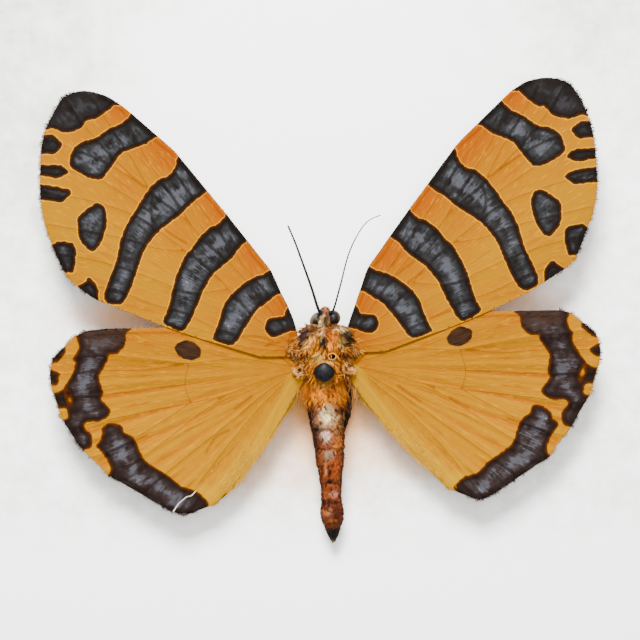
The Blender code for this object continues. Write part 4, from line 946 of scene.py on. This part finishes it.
# the well's near-black stands for the shade deep in the pin hole
wellPaint = Paint("pinWell", 0.9, 0.0, shade(8, 5, 4))
lipPaint = Paint("pinLip", 0.7, 0.1, shade(170, 112, 40))
pinHole = {  # heights and radii from the bottom up: the near-black floor of the hole, which is painted shade, and the cup with its raised lip
    "pinHole": ([(-0.15, 0.1), (0.0, 0.2), (0.12, 0.26)], wellPaint, "dark"),
    "pinLip": ([(-0.5, 0.3), (0.0, 0.4), (0.18, 0.37), (0.24, 0.32), (0.2, 0.29), (-0.2, 0.26)], lipPaint, "fur"),
}
turn = np.linspace(0, 2 * np.pi, 32, endpoint=False)
for name, (rows, paint, slot) in pinHole.items():
    rings = [[(1.26 + 1.3 * r * math.cos(t), -3.83 + r * math.sin(t), 6.8 + h) for t in turn] for h, r in rows]
    piece(name, tube(raised(rings)), paint)


# antennae, legs and palps

darkPaint = speckled("darkLimb", 0.5, 0.15, 9.0, shade(9, 7, 6), shade(32, 22, 14), (0.0, 0.25), 0.04, 0.5)


def addAntenna(name, points, thick, fine, nodes):
    path = curve(raised(points), 0.045)
    t = np.linspace(0, 1, len(path))
    radii = thick + (fine - thick) * t**0.8
    radii = radii * (1 + 0.16 * np.sin(np.arange(len(path)) * 2 * np.pi / 5)) + 0.09 * np.exp(-(t / 0.03) ** 2)
    radii[-4:] *= (0.95, 0.85, 0.65, 0.35)
    piece(name, tube(tubeAlong(path, radii, 10)), darkPaint, nodes)


antennae = {  # thick and fine are the radii at the root and the tip
    "feelerLeft": {"nodes": ["antenna_left"], "thick": 0.17, "fine": 0.095, "points": [
        (0.15, 0.75, 5.3), (-0.2, 1.2, 5.7), (-0.9, 3.4, 6.8), (-1.9, 6.2, 8.1), (-2.6, 8.1, 8.85),
        (-3.35, 9.85, 9.3)]},
    "feelerRight": {"nodes": ["antenna_right"], "thick": 0.125, "fine": 0.05, "points": [
        (1.0, 0.75, 5.3), (1.45, 1.2, 5.7), (2.1, 3.5, 6.4), (3.0, 6.9, 6.85), (4.1, 9.2, 6.95),
        (5.1, 10.4, 6.9), (6.4, 11.0, 6.6)]},
}
for name, look in antennae.items():
    addAntenna(name, **look)

legs = {  # x out from the body's middle, y, height, radius
    "foreleg": [(0.7, -1.9, 3.2, 0.4), (0.9, -0.9, 2.0, 0.36), (1.08, 0.05, 1.55, 0.26), (1.1, 0.3, 1.2, 0.22),
                (1.2, -0.35, 0.75, 0.2), (1.5, -1.6, 0.5, 0.16), (1.7, -2.5, 0.42, 0.11)],
    "midleg": [(0.9, -3.4, 2.9, 0.42), (1.7, -3.5, 1.9, 0.38), (2.7, -3.2, 1.8, 0.3), (3.5, -3.0, 1.7, 0.26),
               (3.7, -3.9, 1.2, 0.24), (3.8, -5.1, 0.75, 0.2), (3.4, -6.3, 0.5, 0.16), (2.9, -6.9, 0.42, 0.11)],
    "hindleg": [(0.9, -5.3, 3.0, 0.45), (1.7, -6.1, 2.1, 0.38), (2.35, -6.9, 1.95, 0.24), (2.6, -7.6, 1.9, 0.2),
                (2.6, -8.6, 1.75, 0.34), (2.5, -9.6, 1.5, 0.33), (2.35, -10.6, 1.2, 0.24),
                (1.8, -12.1, 0.8, 0.2), (1.3, -13.8, 0.5, 0.16), (1.1, -15.0, 0.42, 0.11)],
    "hindlegLeft": [(0.8, -5.35, 3.0, 0.45), (1.3, -6.1, 2.1, 0.38), (1.5, -6.9, 1.9, 0.26),
                    (1.55, -7.6, 1.85, 0.24), (1.55, -9.2, 1.55, 0.32), (1.4, -10.6, 1.2, 0.24),
                    (1.15, -12.1, 0.8, 0.2), (0.9, -13.8, 0.5, 0.16), (0.75, -15.0, 0.42, 0.11)],
}


def addLeg(name, side, points):
    hand = "left" if side < 0 else "right"
    key = np.array(points)
    key[:, 0] = bodyX + side * key[:, 0]
    joints = raised(key[:, :3])
    rows = curve(joints, 0.07)
    at = np.array([np.argmin(np.linalg.norm(rows - joint, axis=1)) for joint in joints])
    radii = np.interp(np.arange(len(rows)), at, key[:, 3])
    for joint in at[2:]:  # waists at the joints
        radii *= 1 - 0.28 * np.exp(-((np.arange(len(rows)) - joint) / 2.2) ** 2)
    shin = at[-3]
    for ring in range(shin, len(rows), 7):  # the foot's small rings
        radii[ring:ring + 2] *= 0.8
    start = (0.3, 0.1, 1)
    parts = [tube(tubeAlong(rows, radii, 14, start=start))]
    ahead = unit(np.gradient(rows, axis=0))
    across, t = unit(np.cross(ahead, (0, 0, 1.0))), np.linspace(0, 1, 6)[:, None]
    for way in (1, -1):  # spurs at the end of the shin
        path = rows[shin] + t * 0.7 * (ahead[shin] * 0.8 + across[shin] * 0.35 * way)
        parts.append(tube(tubeAlong(path, np.linspace(0.07, 0.02, 6), 6)))
    for way in (1, -1):  # claws
        path = rows[-2] + ahead[-1] * t * 0.25 + across[-1] * way * 0.12 * np.sin(t * 2.4)
        path = path - [0, 0, 1] * t**2 * 0.12
        parts.append(tube(tubeAlong(path, np.linspace(0.05, 0.015, 6), 5)))
    piece(f"{name}_{hand}_limb", joined(parts), darkPaint, [f"{name}_{hand}"])
    count = 900
    roots, outs, uv = scatter(tubeAlong(rows, radii * 0.96, 14, start=start), count, evenly)
    near = np.argmin(np.linalg.norm(rows[None, ::4] - roots[:, None], axis=2), axis=1) * 4
    made = tufts(roots, outs, ahead[near] + random.normal(0, 0.15, roots.shape), random.uniform(0.16, 0.34, count),
                 random.uniform(0.04, 0.08, count), uv, random.uniform(0.05, 0.4, count), 0.03)
    piece(f"{name}_{hand}_scales", made, darkPaint)


for name in ("foreleg", "midleg", "hindleg"):
    addLeg(name, -1, legs.get(name + "Left", legs[name]))
    addLeg(name, 1, legs[name])


def addPalp(hand, side, tone):
    x, tip, count = 0.55 + side * 0.42, 0.55 + side * 0.32, 700
    path = curve(raised([(x, 0.35, 3.5), (x, 0.65, 3.0), (x - side * 0.08, 0.92, 2.95), (tip, 1.12, 3.15)]), 0.08)
    skin = tubeAlong(path, np.linspace(0.17, 0.1, len(path)), 14)
    roots, outs, uv = scatter(skin, count, evenly)
    lies = np.array([-side * 0.3, 1.0, 0.1]) + random.normal(0, 0.3, (count, 3))
    hair = tufts(roots, outs, lies, random.uniform(0.12, 0.3, count), random.uniform(0.04, 0.07, count), uv,
                 random.uniform(0.1, 0.5, count))
    made = joined([tube(skin), hair])
    piece(f"palp_{hand}_fur", made, coatPaint, [f"palp_{hand}"],
          tinted(np.tile(linear(*tone), (len(made[0]), 1))))


addPalp("left", -1, (122, 52, 26))
addPalp("right", 1, (152, 94, 64))
print("limbs")


# loose fur where the wings join, and the long hair of the hind wings

baseFur = {  # where the hair at the root spreads, the knob and its lit side, and how far out its two tails hang
    "left": {"side": -1, "middle": (-2.35, -3.5), "knob": (-2.2, -5.3), "knobSize": 0.44, "facing": 225,
             "trails": (1.95, 2.75)},
    "right": {"side": 1, "middle": (2.9, -3.8), "knob": (3.35, -5.4), "knobSize": 0.2, "facing": 0,
              "trails": (1.42, 3.2)},
}


def addBaseFur(hand, side, middle, knob, knobSize, facing, trails):
    rootHairs, tailHairs = 2300, 800  # as many curl round the knob as hang in the tails
    wide = random.normal(0, 1, (rootHairs, 2)) * (0.5, 0.95) + middle
    turn, reach = random.uniform(0, 2 * np.pi, tailHairs), knobSize * random.normal(1, 0.36, tailHairs)
    curl = np.stack([np.cos(turn), np.sin(turn)], 1) * reach[:, None] + knob
    outer = random.random(tailHairs) < 0.5
    across = np.where(outer, trails[1], trails[0]) + random.normal(0, 0.2, tailHairs)
    trail = np.column_stack([bodyX + side * across, random.normal(-6.3, 0.5, tailHairs)])
    flat = np.concatenate([wide, curl, trail])
    kind = np.repeat([0, 1, 2], [rootHairs, tailHairs, tailHairs])
    inner = abs(flat[:, 0] - bodyX)
    keep = (kind == 2) | ((inner > 1.5) & (inner < 3.8) & (flat[:, 1] < -1.6) & (flat[:, 1] > -6.4))
    flat, inner, kind = flat[keep], inner[keep], kind[keep]
    n = len(flat)
    z = np.where(flat[:, 1] > -3.3, 5.6, 4.55) + np.clip(3.2 - inner, 0, 1) * random.uniform(0.2, 1.3, n)
    z = np.where(kind == 2, random.uniform(3.4, 4.7, n), np.where(kind == 1, random.uniform(5.3, 6.0, n), z))
    roots = np.column_stack([flat, cardTop + z])
    lies = np.column_stack([side * (0.5 + random.normal(0, 0.4, n)), -0.9 + random.normal(0, 0.5, n),
                            random.normal(0, 0.2, n)])
    around = flat - knob
    dx, dy = around.T
    swirl = unit(np.column_stack([-dy - dx * 0.4, dx - dy * 0.4, 0 * inner]))
    lies = np.where(kind[:, None] == 1, swirl + random.normal(0, 0.45, (n, 3)), lies)
    back = np.column_stack([side * random.normal(0.22, 0.22, n), -np.ones(n), random.normal(-0.12, 0.12, n)])
    lies = np.where(kind[:, None] == 2, back, lies)
    outs = np.tile([0, 0, 1.0], (n, 1)) + random.normal(0, 0.2, (n, 3))
    length = random.uniform(0.35, 0.95, n) * np.array([1, 0.5, 2.7])[kind]
    width = random.uniform(0.04, 0.08, n) * np.array([1, 0.8, 0.42])[kind]
    uv = np.column_stack([np.arctan2(z - 4.6, flat[:, 0] - bodyX) / (2 * np.pi) + 0.5, (flat[:, 1] + 10) / 10])
    made = tufts(roots, outs, lies, length, width, uv, random.uniform(0.05, 0.5, n) * np.array([1, 1, 0.2])[kind])
    tones = np.array([linear(*tone) for tone in (brown, darkOrange, orange, (176, 128, 62), tan, maroon)])
    patch = np.sin(flat[:, 0] * 5.3 + flat[:, 1] * 3.1) + np.sin(flat[:, 1] * 6.7 - flat[:, 0] * 2.0)
    tone = tones[np.clip(np.floor((patch + 2) * 1.5 + random.normal(0, 0.6, n)), 0, 5).astype(int)]
    far = np.linalg.norm(around, axis=1) / knobSize
    toward = around @ (math.cos(math.radians(facing)), math.sin(math.radians(facing))) / (far * knobSize)
    # painted highlight: pale hair on the knob's lit side
    pale = (toward + random.normal(0, 0.4, n) > 0.15) & (far > 0.5) & (far < 1.4)
    tone = np.where((kind == 1)[:, None] & pale[:, None], linear(186, 136, 70), tone)
    # painted shade: dark hair in the hollow at the knob's middle, the rest a little lighter
    tone = np.where(((kind == 1) & (far < 0.6) & ~pale)[:, None], linear(44, 20, 10), tone * 1.3)
    tone = tone * np.where((flat[:, 1] > -3.7) & (kind == 0), 0.82, 1.0)[:, None]
    straw = np.where(random.random(n)[:, None] < 0.5, linear(176, 122, 58), linear(122, 76, 34))
    straw = np.where((inner < np.mean(trails))[:, None], linear(176, 98, 8), straw)
    tone = np.where(kind[:, None] == 2, straw, tone) * random.uniform(0.7, 1.3, (n, 1))
    piece(f"baseFur_{hand}", made, coatPaint, (), tinted(perTuft(tone)))


def addLongHair(hand):  # along the hind wing's inner margin
    margin = curve([(12.1, -16.1), (9.9, -14.1), (7.75, -11.95), (5.6, -9.35), (4.25, -7.7), (3.6, -6.2)], 0.02)
    ahead = unit(np.gradient(margin, axis=0))
    inward = np.stack([-ahead[:, 1], ahead[:, 0]], 1)
    if inward[0, 0] < 0:
        inward = -inward
    n = 2400
    pick = (random.random(n) ** 0.8 * (len(margin) - 1)).astype(int)  # denser towards the body
    deep = random.exponential(0.35, n) - 0.05
    flat = margin[pick] + inward[pick] * deep[:, None]
    lies = -ahead[pick] - inward[pick] * (0.12 + 0.25 * random.random((n, 1))) + random.normal(0, 0.1, (n, 2))
    xy, tips = placed(flat, hindWing, hand), placed(flat + lies, hindWing, hand)
    far = np.column_stack(fan(flat, hindWing))
    data = {"vein": np.ones(n), "edge": deep, "lead": np.full(n, 12.0), "fan": far}
    z = cardTop + surface(flat, hindWing, hand, data)[0]
    lies = np.column_stack([tips - xy, random.normal(0, 0.05, n)])
    made = tufts(np.column_stack([xy, z]), np.tile([0, 0, 1.0], (n, 1)), lies, random.uniform(0.6, 1.6, n),
                 random.uniform(0.018, 0.034, n), wingUv(flat, 0), random.uniform(0.0, 0.16, n), 0.02)
    tone = np.array(linear(190, 140, 26)) * random.uniform(0.75, 1.35, (n, 1))
    piece(f"hindHair_{hand}", made, coatPaint, (), tinted(perTuft(tone)))


for hand, look in baseFur.items():
    addBaseFur(hand, **look)
for hand in ("left", "right"):
    addLongHair(hand)
print("loose fur")

gluePaint = Paint("driedGlue", 0.35, 0.3, shade(150, 132, 100))
path = raised([(bodyX, -3.9, h) for h in (0.0, 0.3, 0.9, 1.7, 2.6)])
piece("glue", tube(tubeAlong(path, (1.25, 1.12, 0.98, 0.9, 0.85), 40, 1.1)), gluePaint, ["glue_dab"])


# card and floor

def boxPiece(name, size, bevel, paint, nodes):
    bm = bmesh.new()
    bmesh.ops.create_cube(bm, size=1.0)
    bmesh.ops.scale(bm, vec=np.array(size) * mm, verts=bm.verts)
    bmesh.ops.translate(bm, vec=(0, 0, size[2] / 2 * mm), verts=bm.verts)
    bmesh.ops.bevel(bm, geom=bm.edges, offset=bevel * mm, segments=3, profile=0.5, affect="EDGES", material=-1)
    mesh = bpy.data.meshes.new(name)
    bm.to_mesh(mesh)
    bm.free()
    mesh.shade_smooth()
    mesh.set_sharp_from_angle(angle=math.radians(40))
    show(name, mesh, paint, nodes)


cardPaint = Paint("cardPaper", 0.9, 0.1)
place = cardPaint.millimetres()
cloud = cardPaint.noise(place, 0.11, 5.0, 0.62)
mottle = cardPaint.noise(place, 0.5, 4.0, 0.65)
fibre = cardPaint.noise(cardPaint.scaled(place, (1, 1.7, 1)), 3.2, 3.0, 0.7)
x, y = cardPaint.axis(place, 0), cardPaint.axis(place, 1)


def ovalFar(x0, y0, xx, yy):  # 0 at an oval's middle, 1 on its line; xx and yy are its half sizes squared
    return ((x - x0) * (x - x0) / xx + (y - y0) * (y - y0) / yy) ** 0.5


cardWarmShadows = [  # faint painted warm shadows beside the body and under the wings: x, y, half sizes, strength
    (1.0, -8.3, 7.0, 6.6, 1.0), (0.2, -11.5, 12, 8, 0.45), (-21, 0.4, 7.5, 2.6, 0.75), (20.5, 2.2, 7, 2.4, 0.6),
    (-9, -15.5, 4, 4, 0.35), (9.5, -14.5, 5, 4, 0.3),
]
lower, upper = (-y).ramp(17.0, 27.0), (y - x * 0.3).ramp(5.0, 32.0) * 0.45 + 0.2
outward = ovalFar(0, 20, 600, 950) + (cloud - 0.5) * 1.3  # the grey mottling and painted shade lie outside an oval above the body, stronger towards the top
greyAndShade = outward.ramp(0.7, 1.3) * (1 - lower) * (upper + (mottle - 0.5) * 1.3)
greaseAndShade = -(ovalFar(0.5, -10, 260, 90) + (cloud - 0.5) * 0.9)  # a tan stain round the abdomen, partly real stain and partly painted warm shade beside the body
greaseAndShade = greaseAndShade.ramp(-1.3, -0.5) * ((mottle - 0.5) * 1.5 + 0.6)
# each warm shadow is painted into the card's colour
warmShadows = []
for x0, y0, halfX, halfY, amount in cardWarmShadows:
    near = -(ovalFar(x0, y0, halfX * halfX, halfY * halfY) + (cloud - 0.5) * 0.5)
    warmShadows.append((shade(206, 136, 56), near.ramp(-1.2, -0.2) * amount))
cardPaint.set({"Base Color": cardPaint.layered(
    shade(254, 254, 253), (shade(188, 188, 174), greyAndShade), (shade(226, 204, 178), greaseAndShade), *warmShadows,
    (shade(238, 232, 220), (fibre - 0.5).ramp(0.08, 0.3) * 0.35))})
cardPaint.bump(fibre + mottle * 0.6, 0.03, 0.35)
boxPiece("card", (84, 84, cardTop), 0.35, cardPaint, ["mounting_board"])

floorPaint = Paint("floorPaint", 0.9, 0.5, shade(238, 237, 234))
bm = bmesh.new()
bmesh.ops.create_grid(bm, x_segments=1, y_segments=1, size=1.5)  # 3 m wide
floorMesh = bpy.data.meshes.new("floor")
bm.to_mesh(floorMesh)
bm.free()
floorMesh.materials.append(floorPaint.material)
floor = bpy.data.objects.new("floor", floorMesh)
bpy.context.scene.collection.objects.link(floor)
print("card")


# light and camera

world = bpy.data.worlds.new("softRoom")
bpy.context.scene.world = world
world.use_nodes = True
sky = world.node_tree.nodes["Background"].inputs
sky["Color"].default_value = (1.0, 0.985, 0.97, 1)
sky["Strength"].default_value = 0.62

lamps = {  # metres and watts; both look at the middle of the card's face
    "key": {"place": (-0.05, 0.38, 0.48), "size": 0.22, "power": 16.5},
    "fill": {"place": (0.04, 0.0, 0.7), "size": 0.4, "power": 5.0},
}
for name, lamp in lamps.items():
    data = bpy.data.lights.new(name, "AREA")
    data.energy, data.size = lamp["power"], lamp["size"]
    obj = bpy.data.objects.new(name, data)
    obj.location = lamp["place"]
    obj.rotation_euler = (obj.location - Vector((0, 0, cardTop * mm))).to_track_quat("Z", "Y").to_euler()
    bpy.context.scene.collection.objects.link(obj)

view = {"sensor": 36, "lens": 214.3, "nearest": 0.01, "height": 0.4105}  # straight above, the photo's angle
camera = bpy.data.objects.new("camera", bpy.data.cameras.new("camera"))
camera.data.sensor_width, camera.data.lens = view["sensor"], view["lens"]
camera.data.clip_start = view["nearest"]
camera.location = (0, 0, view["height"])
bpy.context.scene.collection.objects.link(camera)
bpy.context.scene.camera = camera

print("finished")
